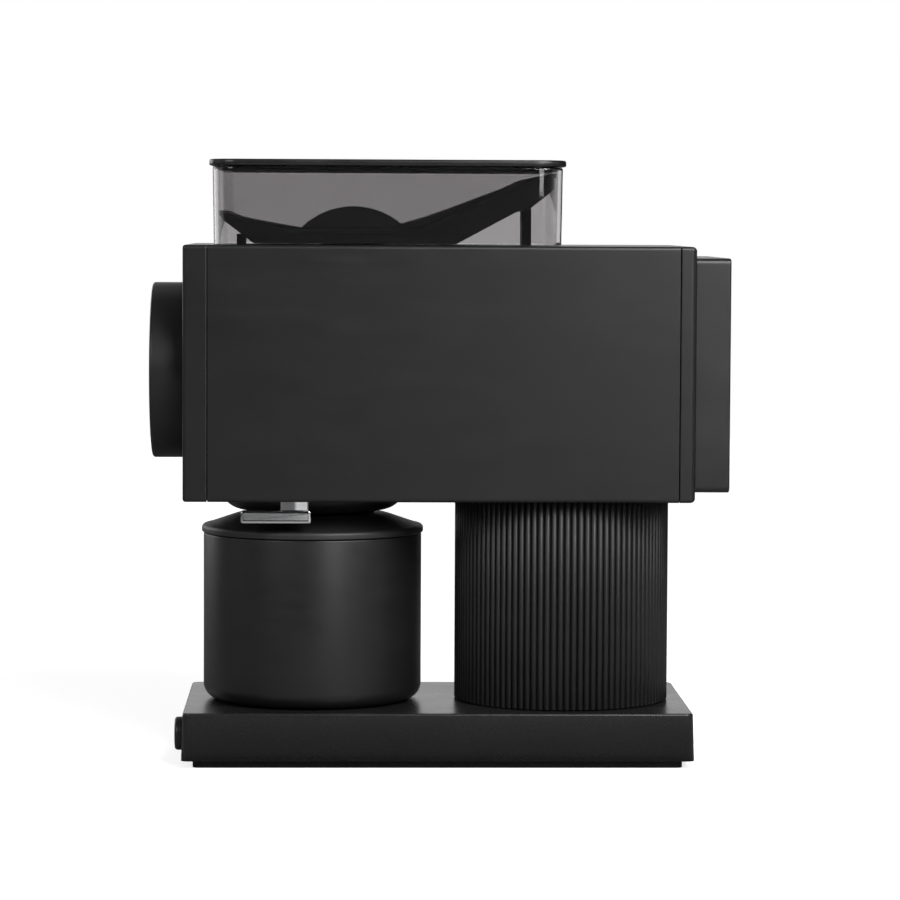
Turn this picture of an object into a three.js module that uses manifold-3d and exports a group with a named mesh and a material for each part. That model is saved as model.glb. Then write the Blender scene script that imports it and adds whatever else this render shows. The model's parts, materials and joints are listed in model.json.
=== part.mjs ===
// Flat-burr coffee grinder: a fluted column on a slab base carries a long rectangular body with the
// burrs and motor on one horizontal axis, a bean hopper on top and a catch cup under the chute.
// Millimetres. +Z up, -X is the front (the dial), -Y is the side with the start button.

import * as THREE from 'three';
import { mergeVertices } from 'three/addons/utils/BufferGeometryUtils.js';
import Module from 'manifold-3d';

const wasm = await Module();
wasm.setup();

// ---- driving dimensions -------------------------------------------------------------------------

const GAP = 0.3; // clearance between touching pieces
const CUT = 1; // how far a cutting tool runs past the face that it cuts

const FOOT_HEIGHT = 3;
const FOOT_INSET = 4.6;
const BASE_HEIGHT = 20;
const BASE_OVERHANG = 0.7; // past the body at each end
const BASE_WALL = 3;
const BASE_CORNER = 3;
const BASE_EDGE = 1.2;
const BASE_PLATE_THICKNESS = 2;

const BUTTON_RADIUS = 6.9;
const BUTTON_PROUD = 3;
const BUTTON_TRAVEL = 1.8;
const BUTTON_SIDE_INSET = 14.5; // from the base's side face to the button's centre
const BUTTON_STEM_RADIUS = 2.5;
const BUTTON_STEM_LENGTH = 4.8;
const BUTTON_EAR_HALF_WIDTH = 9.5;
const BUTTON_EAR_HALF_HEIGHT = 4;
const BUTTON_EAR_THICKNESS = 1.5;
const SWITCH_LENGTH = 7;
const SWITCH_HALF_WIDTH = 5;
const SWITCH_HEIGHT = 6;
const SPRING_WIRE = 1.2;

const BOARD_LENGTH = 112;
const BOARD_HALF_WIDTH = 44;
const BOARD_THICKNESS = 1.6;
const BOARD_POST_HEIGHT = 4;
const BOARD_POST_RADIUS = 3;
const BOARD_POST_INSET = 5;
const HEAT_SINK_LENGTH = 34;
const HEAT_SINK_WIDTH = 26;
const HEAT_SINK_HEIGHT = 6.5;
const GLAND_RADIUS = 5.7;
const GLAND_BORE = 3.2;
const GLAND_FLANGE = 1;
const MAGNET_RADIUS = 10;
const MAGNET_THICKNESS = 2.7;

const COLUMN_HEIGHT = 87;
const COLUMN_RADIUS = 45.2;
const COLUMN_REAR_INSET = 6.6; // from the body's rear face to the column
const COLUMN_WALL = 4.5;
const RIB_COUNT = 100;
const GROOVE_DEPTH = 1.2;
const CORE_BORE = 8;
const CORE_RADIUS = 14;
const CORE_FLANGE_CLEARANCE = 4.7; // between the core's flanges and the sleeve's bore
const CORE_FLANGE_THICKNESS = 4.7;
const COLUMN_SCREW_INSET = 9; // from the flanges' edge to the screws
const COLUMN_SCREW_COUNT = 3;
const SCREW_RADIUS = 2;
const SCREW_HEAD_RADIUS = 4;
const SCREW_HEAD_HEIGHT = 3;
const HARNESS_RADIUS = 3;

const BODY_LENGTH = 210;
const BODY_WIDTH = 105;
const BODY_HEIGHT = 105;
const BODY_WALL = 3;
const BODY_CORNER = 2.6;
const BODY_EDGE = 1.6;
const FRONT_PLATE_DEPTH = 10;
const FRONT_PLATE_FACE = 4;
const FRONT_BOSS_RADIUS = 21;
const REAR_PLATE_DEPTH = 6.6;
const COVER_DEPTH = 14.5;
const COVER_SIDE_INSET = 4.35;
const COVER_BOTTOM_INSET = 4;
const COVER_TOP_INSET = 4.7;
const COVER_CORNER = 5;
const COVER_EDGE = 3;
const COVER_WALL = 2.5;
const VENT_COUNT = 9;
const VENT_HEIGHT = 3;
const VENT_PITCH = 7;
const VENT_HALF_WIDTH = 30;

const AXIS_HEIGHT = 52; // the burr and motor axis above the body's underside
const DIAL_RADIUS = 36.9;
const DIAL_DEPTH = 14.5;
const DIAL_EDGE = 1.2;
const DIAL_STANDOFF = 0.5;
const DIAL_SKIRT_WALL = 5;
const DIAL_FACE = 8.6;
const DIAL_HUB_RADIUS = 15;
const DIAL_HUB_LENGTH = 7;
const DIAL_DISH_RADIUS = 9;
const DIAL_DISH_DEPTH = 4;
const DIAL_SCREW_RADIUS = 3;
const DIAL_SCREW_HEAD_RADIUS = 5.5;
const DIAL_POINTER_LENGTH = 10;
const INDEX_RING_THICKNESS = 2.4;
const INDEX_RING_INNER = 20;
const INDEX_NOTCH_COUNT = 24;
const DETENT_RADIUS = 1.9;
const DETENT_POCKET = 5.4;
const DETENT_SPRING_LENGTH = 3;

const BURR_DEPTH = 50; // from the body's front face to the plane between the burrs
const BURR_RADIUS = 32;
const BURR_HOLE = 16;
const BURR_THICKNESS = 7;
const BURR_GAP = 0.9;
const BURR_GROOVE_COUNT = 12;
const BURR_GROOVE_DEPTH = 1.4;
const BURR_GROOVE_WIDTH = 2;
const CARRIER_THICKNESS = 4.8;
const CARRIER_BOSS_LENGTH = 13;
const CARRIER_BOSS_WALL = 4.2;
const CARRIER_KEY_COUNT = 3;
const CARRIER_KEY_HALF_WIDTH = 3;
const CARRIER_KEY_HEIGHT = 2;
const CARRIER_RIM_WIDTH = 6;
const CARRIER_HUB_RADIUS = 9;
const CARRIER_SPOKE_WIDTH = 5;
const CHAMBER_WALL = 4;
const CHAMBER_REAR_WALL = 4.5;
const CHAMBER_RUNNING_GAP = 1.9;
const CHAMBER_DEPTH = 85.5; // from the body's front face to the back of the chamber's rear wall
const THREAD_RADIUS = 12;
const THREAD_LENGTH = 15;
const THREAD_TURNS = 4;
const THREAD_DEPTH = 0.6;
const ADJUSTER_FLANGE_RADIUS = 19;
const ADJUSTER_FLANGE_THICKNESS = 2.4;
const SHAFT_RADIUS = 5;
const NUT_THICKNESS = 5;
const NUT_RADIUS = 7.4;
const AUGER_RADIUS = 12;
const AUGER_HUB_RADIUS = 7.5;
const AUGER_TURNS = 2;
const AUGER_FLIGHT_RADIUS = 1.8;
const BEARING_RADIUS = 13;
const BEARING_WIDTH = 8;
const BEARING_SHOULDER = 1.5;
const BEARING_SEAT_WALL = 5;

const MOUNT_PLATE_THICKNESS = 4;
const MOTOR_RADIUS = 38;
const MOTOR_CAN_WALL = 2.5;
const MOTOR_REAR_INSET = 30.5; // from the body's rear face to the back of the motor can
const MOTOR_BELL_THICKNESS = 4;
const STATOR_INSET = 10;
const STATOR_SLOTS = 9;
const STATOR_BORE = 19;
const STATOR_SLOT_OUTER = 30;
const SLOT_HALF_WIDTH = 3;
const ROTOR_RADIUS = 18.4;
const WINDING_THICKNESS = 6;
const FAN_RADIUS = 32;
const FAN_WIDTH = 7;
const FAN_BLADES = 9;
const FAN_HUB_RADIUS = 10;
const FAN_BLADE_THICKNESS = 1.6;
const FAN_BLADE_PITCH = 0.6; // radians
const FAN_OPENING = 34;

const THROAT_DEPTH = 69.7; // from the body's front face to the bean throat's centre
const THROAT_RADIUS = 11;
const THROAT_WALL = 2.5;
const THROAT_SPOUT_LENGTH = 10;
const CHUTE_DEPTH = 52.6; // from the body's front face to the chute's centre
const CHUTE_RADIUS = 8;
const CHUTE_WALL = 2.5;
const CHUTE_DROP = 6; // how far the chute reaches below the body
const CHUTE_FLANGE_THICKNESS = 2;
const SKIRT_DROP = 6.7;
const SKIRT_RADIUS = 38.5;
const SKIRT_LIP_RADIUS = 24.5;
const SKIRT_WALL = 4;

const KNOCKER_LENGTH = 28.8;
const KNOCKER_HEIGHT = 5.3;
const KNOCKER_THICKNESS = 4;
const KNOCKER_DROP = 8.8; // from the body's underside to the tab's lower edge
const KNOCKER_SIDE_INSET = 2.5;
const KNOCKER_REAR_OFFSET = 0.3; // the tab's rear end in front of the cup's centre
const KNOCKER_STEM_LENGTH = 11.6;
const KNOCKER_STEM_THICKNESS = 3.5;
const KNOCKER_ARM_LENGTH = 8;
const KNOCKER_ARM_THICKNESS = 4;
const KNOCKER_PIVOT_HEIGHT = 9; // above the body's underside
const KNOCKER_PIVOT_SIDE = 20; // from the centre plane
const KNOCKER_PIN_RADIUS = 1.5;
const KNOCKER_PIN_LENGTH = 21;
const KNOCKER_BOSS_RADIUS = 3.6;
const KNOCKER_HAMMER_GAP = 1;
const KNOCKER_PANEL_DEPTH = 0.4;
const KNOCKER_PANEL_BORDER = 1.2;
const KNOCKER_SWING = 4.5; // room in the body's floor for the stem's swing
const KNOCKER_LUG_LENGTH = 3;
const KNOCKER_LUG_HALF_WIDTH = 4;

const HOPPER_FRONT_INSET = 11.6;
const HOPPER_LENGTH = 144.3;
const HOPPER_WIDTH = 90;
const HOPPER_HEIGHT = 32;
const HOPPER_CORNER = 10.8;
const HOPPER_WALL = 1.8;
const BIN_WALL = 1.4;
const BIN_TOP_DROP = 2; // the inner bin's top edge below the outer shell's
const FUNNEL_FLOOR = 7; // height of the funnel's flat middle above the body
const FUNNEL_FRONT_RISE = 7.6;
const FUNNEL_REAR_RISE = 21;
const FUNNEL_END_RISE = 23.2;
const FUNNEL_FRONT_RUN = 28; // from the hopper's front wall to the flat middle
const FUNNEL_FLAT_LENGTH = 55.3;
const FUNNEL_RAMP_RUN = 45;
const FUNNEL_PANEL_DEPTH = 13; // depth of the funnel's side under the rear ramp
const FUNNEL_MOUTH_HALF_LENGTH = 23.8;
const FUNNEL_MOUTH_HALF_WIDTH = 38;
const FUNNEL_POST_WIDTH = 3.2;
const GUARD_HALF_LENGTH = 22.1;
const GUARD_HEIGHT = 9.1;
const GUARD_THICKNESS = 4;
const LID_THICKNESS = 2.6;
const LID_OVERHANG = 1.35;
const LID_STANDOFF = 0.5;
const LID_PLUG_DEPTH = 1.6;
const LID_PLUG_WALL = 3;
const GASKET_THICKNESS = 1.2;

const CUP_RADIUS = 46;
const CUP_WALL = 2.5;
const CUP_FLOOR = 5.2;
const CUP_FILLET = 6.5;
const CUP_FRONT_INSET = 6.8; // from the body's front face to the cup
const CUP_LID_CLEARANCE = 1.2; // between the cup's lid and the skirt above it
const CUP_LID_HEIGHT = 8.1;
const CUP_LID_LIP = 1.3;
const CUP_LID_OVERHANG = 0.75;
const CUP_LID_BRIM = 7.3; // width of the nearly flat ring round the mouth
const CUP_LID_BRIM_FALL = 1;
const CUP_LID_MOUTH = 26;
const CUP_LID_PLUG_DEPTH = 6;
const CUP_LID_WALL = 2;

// ---- places worked out from the driving dimensions ----------------------------------------------

const FRONT_X = -BODY_LENGTH / 2;
const REAR_X = BODY_LENGTH / 2;
const BODY_HALF_Y = BODY_WIDTH / 2;
const BASE_HALF_X = BODY_LENGTH / 2 + BASE_OVERHANG;
const BASE_HALF_Y = BODY_WIDTH / 2;
const SHELL_BOTTOM = FOOT_HEIGHT + GAP;
const BASE_TOP = FOOT_HEIGHT + BASE_HEIGHT;
const BASE_CEILING = BASE_TOP - BASE_WALL;
const BASE_PLATE_TOP = SHELL_BOTTOM + BASE_PLATE_THICKNESS;
const BOARD_BOTTOM = BASE_PLATE_TOP + BOARD_POST_HEIGHT + GAP;
const BOARD_TOP = BOARD_BOTTOM + BOARD_THICKNESS;
const BUTTON_Z = FOOT_HEIGHT + BASE_HEIGHT / 2;
const BUTTON_Y = -(BASE_HALF_Y - BUTTON_SIDE_INSET);
const BUTTON_EAR_X = -BASE_HALF_X + BASE_WALL + GAP;
const BUTTON_STEM_END = BUTTON_EAR_X + BUTTON_EAR_THICKNESS + BUTTON_STEM_LENGTH;
const SWITCH_X = BUTTON_STEM_END + BUTTON_TRAVEL + GAP;
const BOARD_FRONT = SWITCH_X + 1.5;
const BODY_BOTTOM = BASE_TOP + COLUMN_HEIGHT;
const BODY_TOP = BODY_BOTTOM + BODY_HEIGHT;
const AXIS_Z = BODY_BOTTOM + AXIS_HEIGHT;
const COLUMN_X = REAR_X - COLUMN_REAR_INSET - COLUMN_RADIUS;
const CORE_FLANGE_RADIUS = COLUMN_RADIUS - COLUMN_WALL - CORE_FLANGE_CLEARANCE;
const COLUMN_SCREW_CIRCLE = CORE_FLANGE_RADIUS - COLUMN_SCREW_INSET;
const CUP_X = FRONT_X + CUP_FRONT_INSET + CUP_RADIUS;
const BURR_X = FRONT_X + BURR_DEPTH;
const THROAT_X = FRONT_X + THROAT_DEPTH;
const CHUTE_X = FRONT_X + CHUTE_DEPTH;
const HOUSING_FRONT = FRONT_X + FRONT_PLATE_DEPTH;
const HOUSING_REAR = REAR_X - REAR_PLATE_DEPTH;
const CHAMBER_RADIUS = BURR_RADIUS + CHAMBER_RUNNING_GAP;
const CHAMBER_OUTER = CHAMBER_RADIUS + CHAMBER_WALL;
const CHAMBER_REAR = FRONT_X + CHAMBER_DEPTH;
const CHAMBER_FLOOR = CHAMBER_REAR - CHAMBER_REAR_WALL;
const SEAT_FRONT = CHAMBER_FLOOR + BEARING_SHOULDER;
const SEAT_REAR = SEAT_FRONT + BEARING_WIDTH + GAP;
const MOUNT_PLATE_X = SEAT_REAR + GAP;
const MOTOR_FRONT = MOUNT_PLATE_X + MOUNT_PLATE_THICKNESS + GAP;
const MOTOR_REAR = REAR_X - MOTOR_REAR_INSET;
const BELL_REAR = MOTOR_REAR + GAP + MOTOR_BELL_THICKNESS;
const REAR_SEAT = MOTOR_REAR + GAP + BEARING_SHOULDER;
const REAR_SEAT_END = REAR_SEAT + BEARING_WIDTH + GAP;
const FAN_X = REAR_SEAT_END + GAP;
const SHAFT_REAR = FAN_X + FAN_WIDTH + CUT;
const FRONT_BURR_FACE = BURR_X - BURR_GAP / 2;
const REAR_BURR_FACE = BURR_X + BURR_GAP / 2;
const REAR_BURR_BACK = REAR_BURR_FACE + BURR_THICKNESS;
const REAR_CARRIER_X = REAR_BURR_BACK + GAP;
const REAR_CARRIER_BACK = REAR_CARRIER_X + CARRIER_THICKNESS;
const SHAFT_FRONT = REAR_CARRIER_X - NUT_THICKNESS;
const FRONT_CARRIER_FACE = FRONT_BURR_FACE - BURR_THICKNESS - GAP;
const FRONT_CARRIER_BACK = FRONT_CARRIER_FACE - CARRIER_THICKNESS;
const ADJUSTER_FLANGE_X = HOUSING_FRONT + GAP;
const THREAD_X = ADJUSTER_FLANGE_X + ADJUSTER_FLANGE_THICKNESS;
const HUB_END = FRONT_X - DIAL_STANDOFF + DIAL_HUB_LENGTH;
const INNER_HALF_Y = BODY_HALF_Y - BODY_WALL;
const HOPPER_FRONT = FRONT_X + HOPPER_FRONT_INSET;
const HOPPER_X = HOPPER_FRONT + HOPPER_LENGTH / 2;
const KNOCKER_REAR = CUP_X - KNOCKER_REAR_OFFSET;
const CUP_HEIGHT = COLUMN_HEIGHT - SKIRT_DROP - CUP_LID_CLEARANCE - CUP_LID_HEIGHT;

// ---- materials ----------------------------------------------------------------------------------

const paint = (color, roughness, metalness = 0) => () =>
  new THREE.MeshStandardMaterial({ color, roughness, metalness });
const blackCoat = paint(0x1e1e1f, 0.45, 0.2);
const blackPlastic = paint(0x151516, 0.55);
const blackRubber = paint(0x101010, 0.85);
const chrome = paint(0xd8dadc, 0.12, 1);
const steel = paint(0x9c9ea0, 0.35, 1);
const aluminium = paint(0xb4b6b8, 0.45, 1);
const copper = paint(0xb5703a, 0.4, 1);
const greenBoard = paint(0x1f4a33, 0.6);
const smoke = () => new THREE.MeshStandardMaterial({
  color: 0x6d6b6c, roughness: 0.1, metalness: 0, transparent: true, opacity: 0.35,
});

// ---- geometry helpers ---------------------------------------------------------------------------

function signedVolume(vertices, triangles) {
  let volume = 0;
  const a = new THREE.Vector3();
  const b = new THREE.Vector3();
  const c = new THREE.Vector3();
  for (let i = 0; i < triangles.length; i += 3) {
    a.fromArray(vertices, triangles[i] * 3);
    b.fromArray(vertices, triangles[i + 1] * 3);
    c.fromArray(vertices, triangles[i + 2] * 3);
    volume += a.dot(b.cross(c)) / 6;
  }
  return volume;
}

// A closed three.js geometry as a solid, with its faces turned outwards.
function solid(geometry) {
  const bare = geometry.clone();
  bare.deleteAttribute('normal');
  bare.deleteAttribute('uv');
  const merged = mergeVertices(bare, 1e-4);
  const vertices = new Float32Array(merged.attributes.position.array);
  const triangles = [];
  const index = merged.index.array;
  for (let i = 0; i < index.length; i += 3) {
    const [a, b, c] = [index[i], index[i + 1], index[i + 2]];
    if (a !== b && b !== c && c !== a) triangles.push(a, b, c);
  }
  if (signedVolume(vertices, triangles) < 0) triangles.reverse();
  const mesh = new wasm.Mesh({
    numProp: 3, vertProperties: vertices, triVerts: new Uint32Array(triangles),
  });
  return new wasm.Manifold(mesh);
}

function cut(body, ...tools) {
  return tools.reduce((rest, tool) => rest.subtract(tool), body);
}

function join(body, ...others) {
  return others.reduce((whole, other) => whole.add(other), body);
}

// One named piece of the scene.
function piece(parent, name, body, material) {
  const { numProp, vertProperties, triVerts } = body.getMesh();
  const positions = new Float32Array((vertProperties.length / numProp) * 3);
  for (let i = 0; i < positions.length / 3; i += 1) {
    for (let k = 0; k < 3; k += 1) positions[i * 3 + k] = vertProperties[i * numProp + k];
  }
  const geometry = new THREE.BufferGeometry();
  geometry.setAttribute('position', new THREE.BufferAttribute(positions, 3));
  geometry.setIndex(new THREE.BufferAttribute(new Uint32Array(triVerts), 1));
  geometry.computeVertexNormals();
  const mesh = new THREE.Mesh(geometry, material());
  mesh.name = name;
  parent.add(mesh);
}

function frameAt(parent, x, y, z) {
  const group = new THREE.Group();
  group.position.set(x, y, z);
  parent.add(group);
  return group;
}

function roundedRectangle(halfWidth, halfHeight, radius, centreX = 0, centreY = 0) {
  const shape = new THREE.Shape();
  const right = centreX + halfWidth - radius;
  const left = centreX - halfWidth + radius;
  const top = centreY + halfHeight - radius;
  const bottom = centreY - halfHeight + radius;
  shape.absarc(right, top, radius, 0, Math.PI / 2, false);
  shape.absarc(left, top, radius, Math.PI / 2, Math.PI, false);
  shape.absarc(left, bottom, radius, Math.PI, Math.PI * 1.5, false);
  shape.absarc(right, bottom, radius, Math.PI * 1.5, Math.PI * 2, false);
  shape.closePath();
  return shape;
}

function polygon(points) {
  return new THREE.Shape(points.map(([x, y]) => new THREE.Vector2(x, y)));
}

const CORNER_STEPS = 3;
const FINE = 36; // sides of the large rounds that are seen
const ROUND = 18;
const SMALL = 8;

// A shape in XY pushed from z0 to z1; edge rounds both of its ends.
function prismZ(shape, z0, z1, edge = 0) {
  const geometry = new THREE.ExtrudeGeometry(shape, {
    depth: z1 - z0 - 2 * edge,
    curveSegments: CORNER_STEPS,
    bevelEnabled: edge > 0,
    bevelThickness: edge,
    bevelSize: edge,
    bevelOffset: -edge,
    bevelSegments: 1,
  });
  geometry.translate(0, 0, z0 + edge);
  return geometry;
}

// A shape in YZ pushed from x0 to x1.
function prismX(shape, x0, x1, edge = 0) {
  const geometry = prismZ(shape, x0, x1, edge);
  const turn = new THREE.Matrix4().makeBasis(
    new THREE.Vector3(0, 1, 0), new THREE.Vector3(0, 0, 1), new THREE.Vector3(1, 0, 0),
  );
  return geometry.applyMatrix4(turn);
}

// A shape in XZ pushed from y0 to y1.
function prismY(shape, y0, y1, edge = 0) {
  return prismZ(shape, -y1, -y0, edge).rotateX(Math.PI / 2);
}

function box(x0, x1, y0, y1, z0, z1) {
  const geometry = new THREE.BoxGeometry(x1 - x0, y1 - y0, z1 - z0);
  return geometry.translate((x0 + x1) / 2, (y0 + y1) / 2, (z0 + z1) / 2);
}

// A profile of [radius, z] points turned about Z.
function turnZ(points, steps = ROUND) {
  const profile = points.map(([radius, z]) => new THREE.Vector2(radius, z));
  return new THREE.LatheGeometry(profile, steps).rotateX(Math.PI / 2);
}

// A profile of [x, radius] points turned about X.
function turnX(points, steps = ROUND) {
  const profile = points.map(([x, radius]) => new THREE.Vector2(radius, x));
  return new THREE.LatheGeometry(profile, steps).rotateZ(-Math.PI / 2);
}

function closed(points) {
  return [...points, points[0]];
}

function rodZ(radius, z0, z1, x = 0, y = 0, steps = ROUND) {
  return turnZ([[0, z0], [radius, z0], [radius, z1], [0, z1]], steps).translate(x, y, 0);
}

function rodX(radius, x0, x1, y = 0, z = 0, steps = ROUND) {
  return turnX([[x0, 0], [x0, radius], [x1, radius], [x1, 0]], steps).translate(0, y, z);
}

function tubeX(inner, outer, x0, x1, steps = ROUND) {
  return turnX(closed([[x0, inner], [x0, outer], [x1, outer], [x1, inner]]), steps);
}

// The quarter circle of [x, y] points about a centre, from one angle to the other, in degrees.
function arcPoints(centreX, centreY, radius, from, to, steps) {
  const points = [];
  for (let i = 0; i <= steps; i += 1) {
    const angle = THREE.MathUtils.degToRad(from + ((to - from) * i) / steps);
    points.push([centreX + radius * Math.cos(angle), centreY + radius * Math.sin(angle)]);
  }
  return points;
}

// The tool is copied round an axis by turning its geometry.
function ringOfTools(count, makeGeometry, turn) {
  const tools = [];
  for (let i = 0; i < count; i += 1) tools.push(solid(turn(makeGeometry(), (i * 2 * Math.PI) / count)));
  return tools;
}

// ---- base ---------------------------------------------------------------------------------------

function screw(headSide) {
  const head = SCREW_HEAD_HEIGHT;
  const shank = CORE_FLANGE_THICKNESS + BASE_WALL;
  const profile = [
    [0, -shank], [SCREW_RADIUS, -shank], [SCREW_RADIUS, 0], [SCREW_HEAD_RADIUS, 0],
    [SCREW_HEAD_RADIUS, head], [SCREW_RADIUS, head], [SCREW_RADIUS, head / 2], [0, head / 2],
  ];
  return solid(turnZ(profile.map(([radius, z]) => [radius, z * headSide]), SMALL));
}

function screwPlaces(startAngle) {
  const places = [];
  for (let i = 0; i < COLUMN_SCREW_COUNT; i += 1) {
    const angle = startAngle + (i * 2 * Math.PI) / COLUMN_SCREW_COUNT;
    places.push([COLUMN_SCREW_CIRCLE * Math.cos(angle), COLUMN_SCREW_CIRCLE * Math.sin(angle)]);
  }
  return places;
}

const LOWER_SCREWS = screwPlaces(0);
const UPPER_SCREWS = screwPlaces(Math.PI);
const SCREW_HOLE = SCREW_RADIUS + GAP;

function makeBase(root) {
  const base = frameAt(root, 0, 0, 0);
  const outline = (inset) => roundedRectangle(
    BASE_HALF_X - inset, BASE_HALF_Y - inset, Math.max(BASE_CORNER, BASE_CORNER + FOOT_INSET - inset) - GAP,
  );
  piece(base, 'foot_pad', solid(prismZ(outline(FOOT_INSET), 0, FOOT_HEIGHT)), blackRubber);

  const outer = roundedRectangle(BASE_HALF_X, BASE_HALF_Y, BASE_CORNER);
  const cavityX = BASE_HALF_X - BASE_WALL;
  const cavityY = BASE_HALF_Y - BASE_WALL;
  const cavity = roundedRectangle(cavityX, cavityY, BASE_CORNER / 2);
  const shell = cut(
    solid(prismZ(outer, SHELL_BOTTOM, BASE_TOP, BASE_EDGE)),
    solid(prismZ(cavity, SHELL_BOTTOM - CUT, BASE_CEILING)),
    solid(rodX(BUTTON_RADIUS + GAP, -BASE_HALF_X - CUT, -cavityX + CUT, BUTTON_Y, BUTTON_Z)),
    solid(rodX(GLAND_RADIUS + GAP, cavityX - CUT, BASE_HALF_X + CUT, 0, BUTTON_Z)),
    solid(rodZ(CORE_BORE, BASE_CEILING - CUT, BASE_TOP + CUT, COLUMN_X)),
    ...LOWER_SCREWS.map(([x, y]) =>
      solid(rodZ(SCREW_HOLE, BASE_CEILING - CUT, BASE_TOP + CUT, COLUMN_X + x, y, SMALL))),
  );
  piece(base, 'base_shell', shell, blackCoat);

  const plate = roundedRectangle(cavityX - GAP, cavityY - GAP, BASE_CORNER / 2);
  const boardRear = BOARD_FRONT + BOARD_LENGTH;
  const postX = [BOARD_FRONT + BOARD_POST_INSET, boardRear - BOARD_POST_INSET];
  const postY = [-(BOARD_HALF_WIDTH - BOARD_POST_INSET), BOARD_HALF_WIDTH - BOARD_POST_INSET];
  const posts = postX.flatMap((x) => postY.map((y) =>
    solid(rodZ(BOARD_POST_RADIUS, BASE_PLATE_TOP - CUT, BASE_PLATE_TOP + BOARD_POST_HEIGHT, x, y, SMALL))));
  const bottom = join(solid(prismZ(plate, SHELL_BOTTOM, BASE_PLATE_TOP)), ...posts);
  piece(base, 'base_plate', bottom, aluminium);

  const board = box(BOARD_FRONT, boardRear, -BOARD_HALF_WIDTH, BOARD_HALF_WIDTH, BOARD_BOTTOM, BOARD_TOP);
  piece(base, 'control_board', solid(board), greenBoard);
  makeHeatSink(base, boardRear);
  makeButton(base);

  const glandX = cavityX - GAP;
  const gland = turnX(closed([
    [glandX - GLAND_FLANGE, GLAND_BORE], [glandX - GLAND_FLANGE, GLAND_RADIUS + GLAND_FLANGE],
    [glandX, GLAND_RADIUS + GLAND_FLANGE], [glandX, GLAND_RADIUS],
    [BASE_HALF_X - GAP, GLAND_RADIUS], [BASE_HALF_X - GAP, GLAND_BORE],
  ]));
  piece(base, 'cord_gland', solid(gland.translate(0, 0, BUTTON_Z)), blackRubber);

  const magnetTop = BASE_CEILING - GAP;
  const magnet = rodZ(MAGNET_RADIUS, magnetTop - MAGNET_THICKNESS, magnetTop, CUP_X);
  piece(base, 'base_magnet', solid(magnet), steel);
}

function makeHeatSink(base, boardRear) {
  const rear = boardRear - 2 * BOARD_POST_INSET;
  const front = rear - HEAT_SINK_LENGTH;
  const bottom = BOARD_TOP + GAP;
  const slab = box(front, rear, -HEAT_SINK_WIDTH / 2, HEAT_SINK_WIDTH / 2, bottom, bottom + HEAT_SINK_HEIGHT);
  const channelWidth = 2.4;
  const channelPitch = 5;
  const channels = [];
  for (let y = -2 * channelPitch; y <= 2 * channelPitch; y += channelPitch) {
    const half = channelWidth / 2;
    const top = bottom + HEAT_SINK_HEIGHT + CUT;
    channels.push(solid(box(front - CUT, rear + CUT, y - half, y + half, bottom + 2, top)));
  }
  piece(base, 'board_heat_sink', cut(solid(slab), ...channels), aluminium);
}

function makeButton(base) {
  const button = frameAt(base, 0, BUTTON_Y, BUTTON_Z);
  const front = -BASE_HALF_X - BUTTON_PROUD;
  const cap = turnX([
    [front, 0], [front, BUTTON_RADIUS - DIAL_EDGE],
    ...arcPoints(front + DIAL_EDGE, BUTTON_RADIUS - DIAL_EDGE, DIAL_EDGE, 150, 90, 2),
    [BUTTON_EAR_X + CUT / 2, BUTTON_RADIUS], [BUTTON_EAR_X + CUT / 2, BUTTON_STEM_RADIUS],
    [BUTTON_STEM_END, BUTTON_STEM_RADIUS], [BUTTON_STEM_END, 0],
  ], ROUND);
  const ears = box(
    BUTTON_EAR_X, BUTTON_EAR_X + BUTTON_EAR_THICKNESS,
    -BUTTON_EAR_HALF_WIDTH, BUTTON_EAR_HALF_WIDTH, -BUTTON_EAR_HALF_HEIGHT, BUTTON_EAR_HALF_HEIGHT,
  );
  piece(button, 'start_button', join(solid(cap), solid(ears)), blackPlastic);

  const springInner = BUTTON_STEM_RADIUS + 2 * GAP;
  const springFront = BUTTON_EAR_X + BUTTON_EAR_THICKNESS + BUTTON_TRAVEL + GAP;
  const spring = tubeX(springInner, springInner + SPRING_WIRE, springFront, SWITCH_X - GAP, SMALL);
  piece(button, 'button_spring', solid(spring), steel);

  const switchBottom = BOARD_TOP + GAP - BUTTON_Z;
  const body = box(
    SWITCH_X, SWITCH_X + SWITCH_LENGTH, -SWITCH_HALF_WIDTH, SWITCH_HALF_WIDTH,
    switchBottom, switchBottom + SWITCH_HEIGHT,
  );
  piece(button, 'button_switch', solid(body), blackPlastic);
}

// ---- column -------------------------------------------------------------------------------------

function flutedOutline() {
  // One rib runs from the bottom of a groove over its crown to the next groove.
  const rib = [[0, GROOVE_DEPTH], [0.5, 0]];
  const points = [];
  for (let i = 0; i < RIB_COUNT; i += 1) {
    for (const [share, depth] of rib) {
      const angle = ((i + share) * 2 * Math.PI) / RIB_COUNT;
      const radius = COLUMN_RADIUS - depth;
      points.push([radius * Math.cos(angle), radius * Math.sin(angle)]);
    }
  }
  return points;
}

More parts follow.
